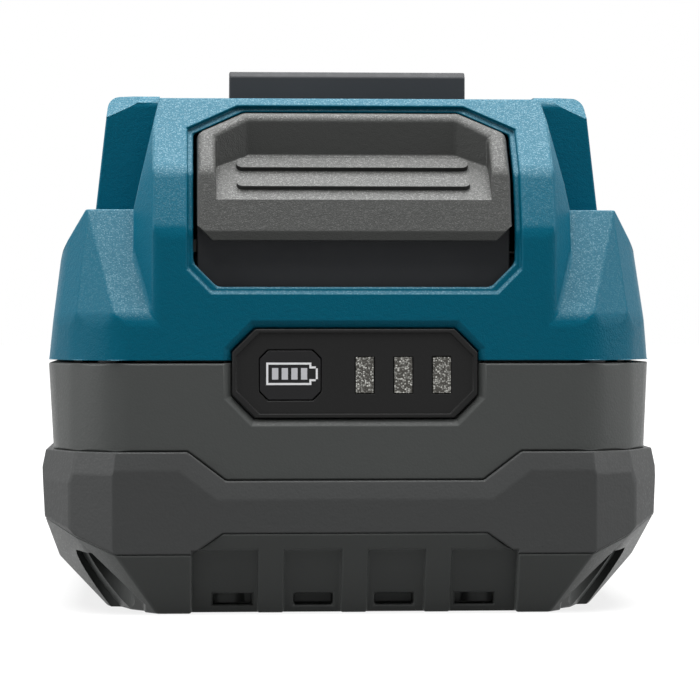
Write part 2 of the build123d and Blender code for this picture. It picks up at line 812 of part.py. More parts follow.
def lower_case():
    """Lower shell with its floor, screw posts and spring posts."""
    floor = [((0, 0, 0), (0, 0, -1))]
    shell = lower_wall() + boot() - bumper_band() - lower_hollow() + seam_lip()
    keep = carve(boot_planes() + floor, wall / 2) & lower_core(wall / 2)
    shell += (slot_sill() & keep) - skirt_cuts()
    for x, y in screw_places():
        shell += rod(x, y, 0, seam_z, post_radius) & keep
        shell -= rod(x, y, seam_z, seam_z + lap_height + overrun, post_radius + lap_clearance)
    for x, y in screw_places():
        shell -= rod(x, y, -overrun, screw_head_z, screw_well_radius)
        shell -= screw_relief(x, y) - carve(boot_planes(), screw_relief_depth)
        shell -= rod(x, y, -overrun, seam_z + overrun, screw_shank_radius + pilot_clearance)
    for x in (-spring_x, spring_x):
        shell += rod(x, end_y(spring_in), wall / 2, spring_seat_z, spring_post_radius)
        top = spring_seat_z + spring_spigot_height
        shell += rod(x, end_y(spring_in), spring_seat_z, top, spring_spigot_radius)
    return shell + both_sides(gauge_guide()) - gauge_seat()


def gauge_guide():
    """Right-hand card guide that carries one edge of the gauge board."""
    front, rear = end_y(gauge_board_in), end_y(gauge_board_in + gauge_board_thickness)
    inner = gauge_board_half_width - gauge_guide_lip
    guide = block(inner, gauge_guide_outer_x, front - gauge_guide_wall, rear + gauge_guide_wall,
                  wall / 2, gauge_board_top_z)
    slot = block(inner - overrun, gauge_board_half_width + gauge_guide_slack, front - gauge_guide_slack,
                 rear + gauge_guide_slack, gauge_board_bottom_z, gauge_board_top_z + overrun)
    return guide - slot


def button_outline():
    """Outline of the release button in X and Z."""
    half = pocket_half_width - button_clearance
    return [
        (-half, button_bottom_z + button_bottom_cut), (-half + button_bottom_cut, button_bottom_z),
        (half - button_bottom_cut, button_bottom_z), (half, button_bottom_z + button_bottom_cut),
        (half, button_top_z - button_top_cut_z), (half - button_top_cut_x, button_top_z),
        (-half + button_top_cut_x, button_top_z), (-half, button_top_z - button_top_cut_z),
    ]


def scoop():
    """Finger scoop in the button: upright walls with cut rear corners over a sloping floor."""
    side = [(end_y(-overrun), scoop_lip_z - overrun / 2), (end_y(scoop_lip_in()), scoop_lip_z),
            (end_y(scoop_back_in), scoop_floor_z), (end_y(scoop_back_in), platform_z + overrun),
            (end_y(-overrun), platform_z + overrun)]
    corner = end_y(scoop_back_in - scoop_corner_cut_in)
    plan = [(-scoop_half_width, end_y(-overrun)), (scoop_half_width, end_y(-overrun)),
            (scoop_half_width, corner), (scoop_back_half_width, end_y(scoop_back_in)),
            (-scoop_back_half_width, end_y(scoop_back_in)), (-scoop_half_width, corner)]
    return prism(side, "x", -reach, reach) & prism(plan, "z", scoop_lip_z - overrun, platform_z + overrun)


def scoop_lip_in():
    """Depth of the button's lower facet at the lip of the scoop."""
    share = (scoop_lip_z - nose_upright_top_z) / (nose_bend_z - nose_upright_top_z)
    return nose_bend_in * share - button_stand_out


def release_button():
    """Button cap that follows the nose, hollow from below, with a ribbed finger scoop."""
    body = nose(-button_stand_out) & prism(button_outline(), "y", end_y(-overrun), end_y(button_back_in))
    body -= block(-reach, reach, end_y(slider_face_in), reach, -reach, slider_top_z)
    rise = (scoop_floor_z - scoop_lip_z) / (scoop_back_in - scoop_lip_in())
    under = [(end_y(slider_face_in + core_wall), slider_top_z),
             (end_y(button_back_in - core_wall), slider_top_z),
             (end_y(button_back_in - core_wall),
              scoop_floor_z + (button_back_in - core_wall - scoop_back_in) * rise - core_wall),
             (end_y(slider_face_in + core_wall),
              scoop_lip_z + (slider_face_in + core_wall - scoop_lip_in()) * rise - core_wall)]
    half = scoop_half_width - core_wall / 2
    for low, high in ((-half, -core_wall / 2), (core_wall / 2, half)):
        body -= prism(under, "x", low, high)
    body -= scoop()
    run = (scoop_floor_z - scoop_lip_z, scoop_back_in - scoop_lip_in())
    for share in grip_rib_place_shares:
        middle = (0, end_y(scoop_back_in - share * run[1]), scoop_floor_z - share * run[0])
        body += Plane(origin=middle, x_dir=(1, 0, 0), z_dir=(0, -run[0], run[1])) * grip_rib()
    return body


def grip_rib():
    """Flat rib with round corners, lying on the plane of the scoop's floor."""
    rib = Pos(0, 0, -grip_rib_lift) * Box(2 * grip_rib_half_length, grip_rib_length, 2 * grip_rib_lift,
                                          align=outward)
    return fillet(rib.edges().filter_by(Axis.Z), grip_rib_round)


def latch_slider():
    """Carrier under the button, with spring pads, bridge and latch tongue."""
    half, cut = slider_half_width, slider_bottom_cut
    low, roof = slider_bottom_z, slider_top_z - slider_roof
    outline = [(-half, low + cut), (-half + cut, low), (half - cut, low), (half, low + cut),
               (half, roof), (-half, roof)]
    plate = prism(outline, "y", end_y(slider_face_in), end_y(slider_face_in + slider_plate))
    riser_in = button_back_in + slider_riser
    top = block(-half, half, end_y(slider_face_in), end_y(button_back_in), roof, slider_top_z)
    pads = block(spring_x - spring_outer, spring_x + spring_outer, end_y(slider_face_in),
                 end_y(button_back_in), low, low + spring_pad_thickness)
    webs = block(spring_x - slider_plate / 2, spring_x + slider_plate / 2, end_y(slider_face_in),
                 end_y(button_back_in), low, roof)
    side = [(end_y(button_back_in) - slider_riser, roof), (end_y(riser_in), roof),
            (end_y(riser_in), bridge_bottom_z), (end_y(tongue_in + tongue_thickness), bridge_bottom_z),
            (end_y(tongue_in + tongue_thickness), bridge_top_z), (end_y(button_back_in), bridge_top_z),
            (end_y(button_back_in), slider_top_z), (end_y(button_back_in) - slider_riser, slider_top_z)]
    bridge = prism(side, "x", -bridge_half_width, bridge_half_width)
    window = block(-bridge_window_half_width, bridge_window_half_width, end_y(button_back_in),
                   end_y(tongue_in), roof - overrun, bridge_top_z + overrun)
    front, rear = end_y(tongue_in), end_y(tongue_in + tongue_thickness)
    tongue = prism([(front, bridge_top_z), (rear, bridge_top_z), (rear, tongue_top_z - tongue_ramp_height),
                    (rear - tongue_ramp_depth, tongue_top_z), (front + tongue_edge, tongue_top_z),
                    (front, tongue_top_z - tongue_edge)], "x", -tongue_half_width, tongue_half_width)
    return plate + top + both_sides(pads + webs) + (bridge - window) + tongue


def latch_springs():
    """Two compression springs between the lower case posts and the slider."""
    low = spring_seat_z + spring_end_gap + spring_wire_radius
    rise = slider_bottom_z - spring_end_gap - spring_wire_radius - low
    quarters = spring_turns * 4
    points = []
    for step in range(quarters * 2 + 1):
        turn = step * math.pi / 4
        height = low + rise * step / quarters / 2
        points.append((spring_radius * math.cos(turn), spring_radius * math.sin(turn), height))
    path = Wire([ThreePointArc(*points[2 * i:2 * i + 3]).edge() for i in range(quarters)])
    wire = sweep(Plane(origin=path @ 0, z_dir=path % 0) * Circle(spring_wire_radius), path=path)
    place = Pos(spring_x, end_y(spring_in), 0)
    return both_sides(place * wire)


def window_places():
    """Middles of the charge windows along X."""
    return [gauge_half_width * (window_start_share + window_pitch_share * i) for i in range(window_count)]


def key_prism(grow, y_low, y_high):
    """Body of the check key, grown outward."""
    half_x, half_z = key_width / 2 + grow, key_height / 2 + grow
    cut = key_corner
    outline = octagon(half_x, gauge_middle_z - half_z, gauge_middle_z + half_z, cut, cut)
    return prism([(key_x + x, z) for x, z in outline], "y", y_low, y_high)


def gauge_bezel():
    """Gauge panel with a raised rim, seated on the ledge of the case."""
    front = prism(gauge_outline(0), "y", end_y(0), end_y(gauge_seat_depth))
    back = prism(gauge_outline(-gauge_ledge - gauge_seat_clearance), "y", end_y(gauge_seat_depth),
                 end_y(gauge_back_in))
    field = prism(gauge_outline(-gauge_rim), "y", end_y(-overrun), end_y(gauge_rim_step))
    body = front + back - field
    for x in window_places():
        body -= block(x - window_width / 2, x + window_width / 2, end_y(-overrun), end_y(wall + overrun),
                      gauge_middle_z - window_height / 2, gauge_middle_z + window_height / 2)
    body -= key_prism(key_clearance, end_y(-overrun), end_y(wall + overrun))
    return body


def check_button():
    """Soft check key with a flange behind the panel and a stem for the switch."""
    flange_rear = gauge_back_in + key_flange_thickness
    body = key_prism(0, end_y(gauge_rim_step), end_y(gauge_back_in))
    body += key_prism(key_flange, end_y(gauge_back_in), end_y(flange_rear))
    reach_in = gauge_board_in - tact_height - tact_button_height - key_travel - spring_end_gap
    stem = Pos(key_x, end_y(flange_rear), gauge_middle_z) * Rot(-90, 0, 0)
    return body + stem * Cylinder(key_stem_radius, reach_in - flange_rear, align=outward)


def gauge_windows():
    """Three frosted windows on one light guide behind the panel."""
    places = window_places()
    slack = gauge_seat_clearance / 2
    half_x, half_z = window_width / 2 - slack, window_height / 2 - slack
    margin = window_width / 4
    body = block(places[0] - half_x - margin, places[-1] + half_x + margin, end_y(gauge_back_in),
                 end_y(gauge_back_in + key_flange_thickness), gauge_middle_z - half_z - margin,
                 gauge_middle_z + half_z + margin)
    for x in places:
        body += block(x - half_x, x + half_x, end_y(gauge_rim_step), end_y(gauge_back_in),
                      gauge_middle_z - half_z, gauge_middle_z + half_z)
    return body


def gauge_board():
    """Small circuit board behind the gauge."""
    return block(-gauge_board_half_width, gauge_board_half_width, end_y(gauge_board_in),
                 end_y(gauge_board_in + gauge_board_thickness), gauge_board_bottom_z, gauge_board_top_z)


def gauge_leds():
    """One lamp behind each window."""
    front, rear = end_y(gauge_board_in - led_height), end_y(gauge_board_in)
    low, high = gauge_middle_z - led_length / 2, gauge_middle_z + led_length / 2
    lamps = [block(x - led_width / 2, x + led_width / 2, front, rear, low, high) for x in window_places()]
    return Compound(lamps)


def tact_switch():
    """Push switch behind the check key."""
    half = tact_size / 2
    face = gauge_board_in - tact_height
    body = block(key_x - half, key_x + half, end_y(face), end_y(gauge_board_in),
                 gauge_middle_z - half, gauge_middle_z + half)
    knob = Pos(key_x, end_y(face), gauge_middle_z) * Rot(90, 0, 0)
    return body + knob * Cylinder(tact_button_radius, tact_button_height, align=outward)


def column_y(column):
    """Y of a column of cells."""
    return end_y(cell_front_in) + cell_radius + cell_pitch * column


def row_z(row):
    """Z of a row of cells."""
    return cell_low_z + cell_pitch * row


def cell(column, row):
    """Round cell lying across the pack; neighbours in a string face opposite ways."""
    half = cell_length / 2
    shoulder_z = half - cell_cap_height
    profile = [(0, -half), (cell_radius - cell_edge, -half), (cell_radius, -half + cell_edge),
               (cell_radius, shoulder_z - cell_edge), (cell_radius - cell_edge, shoulder_z),
               (cell_cap_radius, shoulder_z), (cell_cap_radius, half), (0, half)]
    face = Face(Wire.make_polygon([(x, 0, z) for x, z in profile]))
    turned = Rot(0, 90 if column % 2 == 0 else -90, 0) * revolve(face, Axis.Z)
    return Pos(0, column_y(column), row_z(row)) * turned


def cell_holder():
    """Right-hand half of the cell holder, with a bore for each cell and two board posts."""
    edge = cell_radius + holder_edge
    body = block(holder_outer_x - holder_depth, holder_outer_x, column_y(0) - edge,
                 column_y(cell_columns - 1) + edge, holder_foot_z, holder_top_z)
    body = body & carve(boot_planes(), wall + holder_case_gap)
    for x, y in board_screw_places():
        if x > 0:
            body += rod(x, y, holder_top_z, board_z, board_post_radius)
    turned = Rot(0, 90, 0) * Cylinder(cell_radius + holder_bore_clearance, 2 * holder_outer_x)
    for column in range(cell_columns):
        for row in range(cell_rows):
            body -= Pos(holder_outer_x, column_y(column), row_z(row)) * turned
    pilot_radius = board_screw_radius + pilot_clearance
    for x, y in board_screw_places():
        body -= rod(x, y, board_z - board_screw_length, board_z + overrun, pilot_radius)
    return body


def strip(columns, side, tab_way):
    """Nickel strip that joins the cells of its columns at one side, with a tab bent in to the board."""
    half = strip_width / 2
    x_low, x_high = cell_length / 2, cell_length / 2 + strip_thickness
    y_low, y_high = column_y(columns[0]) - half, column_y(columns[-1]) + half
    body = block(x_low, x_high, y_low, y_high, row_z(0) - half, row_z(cell_rows - 1) + half)
    if len(columns) > 1:
        middle = (y_low + y_high) / 2
        gap = (column_y(columns[1]) - column_y(columns[0]) - strip_width) / 2
        low, high = row_z(0) + half, row_z(cell_rows - 1) - half
        body -= block(x_low, x_high, middle - gap, middle + gap, low, high)
    y = column_y(columns[0]) + tab_way * strip_inset
    tab_half = strip_tab_width / 2
    body += block(x_low, x_high, y - tab_half, y + tab_half, row_z(cell_rows - 1), board_z)
    body += block(board_half_width - strip_inset, x_high, y - tab_half, y + tab_half,
                  board_z - strip_thickness, board_z)
    return body if side > 0 else mirror(body, about=Plane.YZ)


def insulation_sheet():
    """Fibre sheet over the right-hand strips."""
    low = cell_length / 2 + strip_thickness + sheet_gap
    return block(low, low + sheet_thickness, column_y(0) - cell_radius + sheet_margin,
                 column_y(cell_columns - 1) + cell_radius - sheet_margin,
                 row_z(0) - strip_width / 2 - sheet_margin,
                 row_z(cell_rows - 1) + strip_width / 2 + sheet_margin)


def foam_pads():
    """Two foam strips between the floor and the cell holders."""
    middle = holder_outer_x - holder_depth / 2
    half = foam_length_share * (column_y(cell_columns - 1) - column_y(0) + 2 * cell_radius) / 2
    centre = (column_y(0) + column_y(cell_columns - 1)) / 2
    return both_sides(block(middle - foam_width / 2, middle + foam_width / 2, centre - half, centre + half,
                            wall, holder_foot_z))


def board_top():
    """Z of the upper face of the main board."""
    return board_z + board_thickness


def main_board():
    """Protection board under the platform."""
    body = block(-board_half_width, board_half_width, board_front_y, board_rear_y, board_z, board_top())
    body = chamfer(body.edges().filter_by(Axis.Z), board_corner)
    for x, y in board_screw_places():
        body -= rod(x, y, board_z - overrun, board_top() + overrun, board_screw_radius + pilot_clearance)
    return body


def pan_screw(x, y, head_z, way, shank, head, head_height, length, socket):
    """Pan head screw whose head stands on one height and whose shank points up or down."""
    profile = [(0, 0), (shank, 0), (shank, length - shank / 2), (shank / 2, length), (0, length)]
    shaft = revolve(Face(Wire.make_polygon([(r, 0, z) for r, z in profile])), Axis.Z)
    crown = [(0, 0), (head, 0), (head, -head_height / 2), (head - head_height / 2, -head_height),
             (0, -head_height)]
    body = shaft + revolve(Face(Wire.make_polygon([(r, 0, z) for r, z in crown])), Axis.Z)
    drive = extrude(Plane((0, 0, -head_height)) * RegularPolygon(socket, 6), head_height / 2)
    body -= drive
    turned = body if way > 0 else Rot(180, 0, 0) * body
    return Pos(x, y, head_z) * turned


def case_screws():
    """Four long screws that close the case from below."""
    return Compound([pan_screw(x, y, screw_head_z, 1, screw_shank_radius, screw_head_radius,
                               screw_head_height, screw_length, screw_socket_radius)
                     for x, y in screw_places()])


def board_screws():
    """Four short screws that hold the main board on the cell holders."""
    return Compound([pan_screw(x, y, board_top(), -1, board_screw_radius, board_screw_head_radius,
                               board_screw_head_height, board_screw_length, board_socket_radius)
                     for x, y in board_screw_places()])


def terminal_block():
    """Contact housing under the platform, slotted for the tool's blades and its signal plug."""
    top = platform_z - wall - terminal_top_gap
    body = block(-terminal_half_width, terminal_half_width, terminal_front_y, terminal_rear_y,
                 board_top(), top)
    slot_half = contact_gap / 2 + contact_leaf + spring_end_gap + pilot_clearance
    slot = block(blade_x - slot_half, blade_x + slot_half, blade_slot_front_y, terminal_rear_y + overrun,
                 board_top() - overrun, top + overrun)
    mouth = block(-signal_half_width, signal_half_width, signal_slot_front_y, terminal_rear_y + overrun,
                  board_top() - overrun, top + overrun)
    return body - both_sides(slot) - mouth


def power_contact(x):
    """Forked spring contact for one blade of the tool."""
    half = contact_gap / 2 + contact_leaf
    top = platform_z - wall - wall
    body = block(x - half, x + half, contact_front_y, contact_rear_y, board_top(), top)
    gap = block(x - contact_gap / 2, x + contact_gap / 2, contact_front_y - overrun, contact_rear_y + overrun,
                board_top() + contact_foot, top + overrun)
    return body - gap


def signal_floor():
    """Z of the floor under the signal pins."""
    return platform_z - wall - signal_body_top_in - signal_pin_height


def signal_connector():
    """Plug body for the data contacts, open to the rear."""
    top = platform_z - wall - signal_body_top_in
    body = block(-signal_body_half_width, signal_body_half_width, signal_body_front_y, contact_rear_y,
                 board_top(), top)
    return body - block(-signal_body_half_width + contact_foot, signal_body_half_width - contact_foot,
                        signal_body_front_y + core_wall, contact_rear_y + overrun,
                        signal_floor(), top + overrun)


def signal_pins():
    """Row of flat data pins in the signal connector."""
    pins = []
    for index in range(signal_pin_count):
        x = (index - (signal_pin_count - 1) / 2) * signal_pin_pitch
        pins.append(block(x - signal_pin_width / 2, x + signal_pin_width / 2,
                          signal_body_front_y + core_wall + core_wall / 2, contact_rear_y - core_wall,
                          signal_floor(), signal_floor() + signal_pin_height - contact_foot))
    return Compound(pins)


def fuse():
    """Surface fuse on the main board."""
    return block(-fuse_length / 2, fuse_length / 2, fuse_y - fuse_width / 2, fuse_y + fuse_width / 2,
                 board_top(), board_top() + fuse_height)


def power_transistors():
    """Row of power transistors on the main board."""
    bodies = []
    for index in range(transistor_count):
        x = (index - (transistor_count - 1) / 2) * transistor_pitch
        half = transistor_size / 2
        bodies.append(block(x - half, x + half, transistor_y - half, transistor_y + half,
                            board_top(), board_top() + transistor_height))
    return Compound(bodies)


def thermistor():
    """Temperature bead lying on the top of the middle cell, under the board."""
    z = row_z(cell_rows - 1) + cell_radius + thermistor_radius
    turned = Rot(0, 90, 0) * Cylinder(thermistor_radius, thermistor_length)
    return Pos(0, column_y(cell_columns // 2), z) * turned


def gauge_cable():
    """Flat cable from the gauge board over the cell holder to the main board."""
    half = cable_thickness / 2
    rear = end_y(gauge_board_in + gauge_board_thickness)
    down = column_y(0) - cell_radius - holder_edge - cable_thickness
    low_z = gauge_board_bottom_z + core_wall
    over_z = holder_top_z + cable_thickness
    on_z = board_top() + half
    turn = board_front_y - cable_bend - half
    path = FilletPolyline((0, rear, low_z), (0, down, low_z), (0, down, over_z), (0, turn, over_z),
                          (0, turn, on_z), (0, board_front_y + core_wall, on_z), radius=cable_bend)
    start = Plane(origin=path @ 0, z_dir=path % 0, x_dir=(1, 0, 0))
    return sweep(start * Rectangle(2 * cable_half_width, cable_thickness), path=path)


def build_nodes():
    """Every piece of the pack by its name."""
    nodes = {
        "upper_case": upper_case(),
        "lower_case": lower_case(),
        "bumper_band": bumper_band(),
        "case_screws": case_screws(),
        "release_button": release_button(),
        "latch_slider": latch_slider(),
        "latch_springs": latch_springs(),
        "gauge_bezel": gauge_bezel(),
        "check_button": check_button(),
        "gauge_windows": gauge_windows(),
        "gauge_board": gauge_board(),
        "gauge_leds": gauge_leds(),
        "tact_switch": tact_switch(),
        "gauge_cable": gauge_cable(),
        "cell_holder_right": cell_holder(),
        "cell_holder_left": mirror(cell_holder(), about=Plane.YZ),
        "insulation_sheet_right": insulation_sheet(),
        "insulation_sheet_left": mirror(insulation_sheet(), about=Plane.YZ),
        "foam_pads": foam_pads(),
        "main_board": main_board(),
        "board_screws": board_screws(),
        "terminal_block": terminal_block(),
        "positive_terminal": power_contact(blade_x),
        "negative_terminal": power_contact(-blade_x),
        "signal_connector": signal_connector(),
        "signal_pins": signal_pins(),
        "fuse": fuse(),
        "power_transistors": power_transistors(),
        "thermistor": thermistor(),
    }
    for column in range(cell_columns):
        for row in range(cell_rows):
            nodes[f"cell_{column * cell_rows + row + 1:02d}"] = cell(column, row)
    for side, name, groups in ((1, "right", ((0, 1), (2, 3), (4,))), (-1, "left", ((0,), (1, 2), (3, 4)))):
        for index, columns in enumerate(groups):
            nodes[f"nickel_strip_{name}_{index + 1}"] = strip(columns, side, 1)
    return nodes


os.makedirs("parts", exist_ok=True)
for name, shape in build_nodes().items():
    export_step(shape, f"parts/{name}.step")
    print(name, len(shape.solids()), round(shape.volume))
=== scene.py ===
"""Dresses a slide-on battery pack: shells, band, button, latch, charge gauge, contacts and cells.

Lengths are in metres, X runs across the pack, Y from the button end to the rear, Z up.
"""

import logging
import math
from dataclasses import dataclass
from enum import Enum
from typing import Optional, Union

import bmesh
import bpy
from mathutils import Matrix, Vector
from mathutils.geometry import intersect_point_line


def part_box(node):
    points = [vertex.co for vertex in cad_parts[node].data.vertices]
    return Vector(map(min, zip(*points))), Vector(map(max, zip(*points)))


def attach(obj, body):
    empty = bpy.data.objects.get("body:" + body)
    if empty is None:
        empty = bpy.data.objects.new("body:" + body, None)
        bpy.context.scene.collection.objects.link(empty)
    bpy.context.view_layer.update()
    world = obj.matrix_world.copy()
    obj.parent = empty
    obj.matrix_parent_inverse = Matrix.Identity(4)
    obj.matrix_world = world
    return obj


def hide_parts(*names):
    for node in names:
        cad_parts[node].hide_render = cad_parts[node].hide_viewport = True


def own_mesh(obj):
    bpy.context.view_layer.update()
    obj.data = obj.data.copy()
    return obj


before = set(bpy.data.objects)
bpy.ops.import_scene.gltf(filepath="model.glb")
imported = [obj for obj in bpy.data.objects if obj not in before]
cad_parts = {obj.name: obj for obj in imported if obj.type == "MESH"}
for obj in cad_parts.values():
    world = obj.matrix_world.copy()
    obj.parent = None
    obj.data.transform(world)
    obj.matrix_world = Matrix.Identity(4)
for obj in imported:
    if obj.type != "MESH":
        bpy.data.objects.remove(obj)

MM = 0.001
MIX_FIRST, MIX_SECOND, MIX_COLOUR = 6, 7, 2
Value = Union[bpy.types.NodeSocket, float]
Span = tuple[Value, Value]
GAUGE_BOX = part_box("gauge_bezel")
SEAM_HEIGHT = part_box("upper_case")[0][2]
log = logging.getLogger("battery_pack")


class Body(Enum):
    """Bodies of the pack that a piece can ride on."""

    PACK = "pack_body"
    LATCH = "latch"
    KEY = "check_key"


class Grain(Enum):
    """Surface textures of the mould, as grain size in metres and height in metres."""

    SMOOTH = (0.00060, 0.000004)
    MATT = (0.00110, 0.000003)
    SATIN = (0.00030, 0.000010)
    SPARKED = (0.00017, 0.000024)
    COARSE = (0.00022, 0.000050)
    RUBBER = (0.00035, 0.000014)


def linear(red: int, green: int, blue: int) -> tuple[float, float, float, float]:
    """Turns a screen colour into the renderer's linear one.

    Args:
        red: Red from 0 to 255.
        green: Green from 0 to 255.
        blue: Blue from 0 to 255.

    Returns:
        The linear colour with full alpha.
    """
    channels = []
    for value in (red, green, blue):
        share = value / 255
        channels.append(share / 12.92 if share <= 0.04045 else ((share + 0.055) / 1.055) ** 2.4)
    return (channels[0], channels[1], channels[2], 1.0)


def group_socket(group: bpy.types.NodeTree, name: str, way: str, kind: str,
                 value: Optional[float] = None) -> None:
    """Adds a named socket to a node group.

    Args:
        group: The node group.
        name: The socket's name.
        way: INPUT or OUTPUT.
        kind: The socket's type.
        value: The starting value of a number input.
    """
    socket = group.interface.new_socket(name=name, in_out=way, socket_type=kind)
    if value is not None:
        socket.default_value = value


def feed(tree: bpy.types.NodeTree, socket: bpy.types.NodeSocket, value: Value) -> None:
    """Gives an input a link or a plain number.

    Args:
        tree: The node tree.
        socket: The input.
        value: Another node's output, or a number.
    """
    if isinstance(value, bpy.types.NodeSocket):
        tree.links.new(value, socket)
    else:
        socket.default_value = value


def maths(tree: bpy.types.NodeTree, operation: str, *values: Value) -> bpy.types.NodeSocket:
    """Adds a math node.

    Args:
        tree: The node tree.
        operation: What it does.
        values: Its inputs, in order.

    Returns:
        The node's output.
    """
    node = tree.nodes.new("ShaderNodeMath")
    node.operation = operation
    for socket, value in zip(node.inputs, values):
        feed(tree, socket, value)
    return node.outputs[0]


def spread(tree: bpy.types.NodeTree, value: Value, before: Span,
           after: Span = (0.0, 1.0)) -> bpy.types.NodeSocket:
    """Adds a node that turns one range of values into another, clamped at both ends.

    Args:
        tree: The node tree.
        value: The value to turn.
        before: The range it comes in.
        after: The range it goes out in.

    Returns:
        The node's output.
    """
    node = tree.nodes.new("ShaderNodeMapRange")
    names = ("Value", "From Min", "From Max", "To Min", "To Max")
    for name, entry in zip(names, (value, *before, *after)):
        feed(tree, node.inputs[name], entry)
    return node.outputs["Result"]


def moulded_grain(patch_scale: float = 0.3, patch_height: float = 1.5,
                  picked_from: float = 0.25, crest_rise: Span = (0.35, 0.75)) -> bpy.types.NodeTree:
    """Makes the shader group for a spark-eroded mould texture.

    Args:
        patch_scale: Scale of the slow patches, as a share of the grain's.
        patch_height: Height of the patches against the grain's.
        picked_from: Share of the grains that never catch the light.
        crest_rise: Heights in a grain between which its crest fades in.

    Returns:
        A group that puts out a height for a bump and a mask of the grain's crests.
    """
    group = bpy.data.node_groups.new("moulded_grain", "ShaderNodeTree")
    group_socket(group, "Grain Size", "INPUT", "NodeSocketFloat", 0.0003)
    group_socket(group, "Height", "OUTPUT", "NodeSocketFloat")
    group_socket(group, "Crests", "OUTPUT", "NodeSocketFloat")
    nodes, links = group.nodes, group.links
    start, end = nodes.new("NodeGroupInput"), nodes.new("NodeGroupOutput")
    place = nodes.new("ShaderNodeTexCoord")
    grains = nodes.new("ShaderNodeTexVoronoi")
    patches = nodes.new("ShaderNodeTexNoise")
    patches.inputs["Detail"].default_value = 1.0
    scale = maths(group, "DIVIDE", 1.0, start.outputs["Grain Size"])
    for texture, size in ((grains, scale), (patches, maths(group, "MULTIPLY", scale, patch_scale))):
        links.new(place.outputs["Object"], texture.inputs["Vector"])
        links.new(size, texture.inputs["Scale"])
    dome = maths(group, "SUBTRACT", 1.0, grains.outputs["Distance"])
    height = maths(group, "MULTIPLY_ADD", patches.outputs["Fac"], patch_height, dome)
    links.new(height, end.inputs["Height"])
    chance = nodes.new("ShaderNodeSeparateColor")
    links.new(grains.outputs["Color"], chance.inputs["Color"])
    picked = spread(group, chance.outputs["Red"], (picked_from, 1.0))
    crests = maths(group, "MULTIPLY", picked, spread(group, dome, crest_rise))
    links.new(crests, end.inputs["Crests"])
    return group


def tone_and_painted_sheen(cloud_scale: float = 60.0, crest_weight: float = 0.7,
                painted_sheen_slope: Span = (0.2, 0.5)) -> bpy.types.NodeTree:
    """Makes the shader group for slow tone changes and painted sheen and glints on upward faces.

    Args:
        cloud_scale: How many clouds fit in a metre.
        crest_weight: How much of the painted sheen lies on the grain's crests, as glints.
        painted_sheen_slope: Upward part of the normal between which the painted sheen fades in.

    Returns:
        A group that puts out a colour.
    """
    group = bpy.data.node_groups.new("tone_and_painted_sheen", "ShaderNodeTree")
    group_socket(group, "Colour", "INPUT", "NodeSocketColor")
    group_socket(group, "Crest Colour", "INPUT", "NodeSocketColor")
    group_socket(group, "Crests", "INPUT", "NodeSocketFloat", 0.0)
    group_socket(group, "Crest Share", "INPUT", "NodeSocketFloat", 0.3)
    group_socket(group, "Cloud Share", "INPUT", "NodeSocketFloat", 0.08)
    # Upright Crests and the next input set the painted sheen: its share on upright faces and its
    # even level.
    group_socket(group, "Upright Crests", "INPUT", "NodeSocketFloat", 0.02)
    group_socket(group, "Painted Sheen", "INPUT", "NodeSocketFloat", 0.2)
    group_socket(group, "Colour", "OUTPUT", "NodeSocketColor")
    nodes, links = group.nodes, group.links
    start, end = nodes.new("NodeGroupInput"), nodes.new("NodeGroupOutput")
    place = nodes.new("ShaderNodeTexCoord")
    clouds = nodes.new("ShaderNodeTexNoise")
    clouds.inputs["Scale"].default_value = cloud_scale
    clouds.inputs["Detail"].default_value = 2.0
    links.new(place.outputs["Object"], clouds.inputs["Vector"])
    centre = maths(group, "SUBTRACT", clouds.outputs["Fac"], 0.5)
    tone = nodes.new("ShaderNodeVectorMath")
    tone.operation = "SCALE"
    links.new(start.outputs["Colour"], tone.inputs[0])
    links.new(maths(group, "MULTIPLY_ADD", centre, start.outputs["Cloud Share"], 1.0),
              tone.inputs["Scale"])
    facing = nodes.new("ShaderNodeSeparateXYZ")
    links.new(place.outputs["Normal"], facing.inputs["Vector"])
    # Painted sheen and glints: the crest colour is mixed in most on faces that look up, where the
    # top light falls.
    upward = spread(group, facing.outputs["Z"], painted_sheen_slope, (start.outputs["Upright Crests"], 1.0))
    painted_sheen = maths(group, "MULTIPLY_ADD", start.outputs["Crests"], crest_weight,
                 start.outputs["Painted Sheen"])
    painted_sheen_mask = maths(group, "MULTIPLY", painted_sheen, upward)
    mix = nodes.new("ShaderNodeMix")
    mix.data_type = "RGBA"
    links.new(maths(group, "MULTIPLY", painted_sheen_mask, start.outputs["Crest Share"]), mix.inputs["Factor"])
    links.new(tone.outputs[0], mix.inputs[MIX_FIRST])
    links.new(start.outputs["Crest Colour"], mix.inputs[MIX_SECOND])
    links.new(mix.outputs[MIX_COLOUR], end.inputs["Colour"])
    return group


GROUPS = {"grain": moulded_grain(), "tone": tone_and_painted_sheen()}


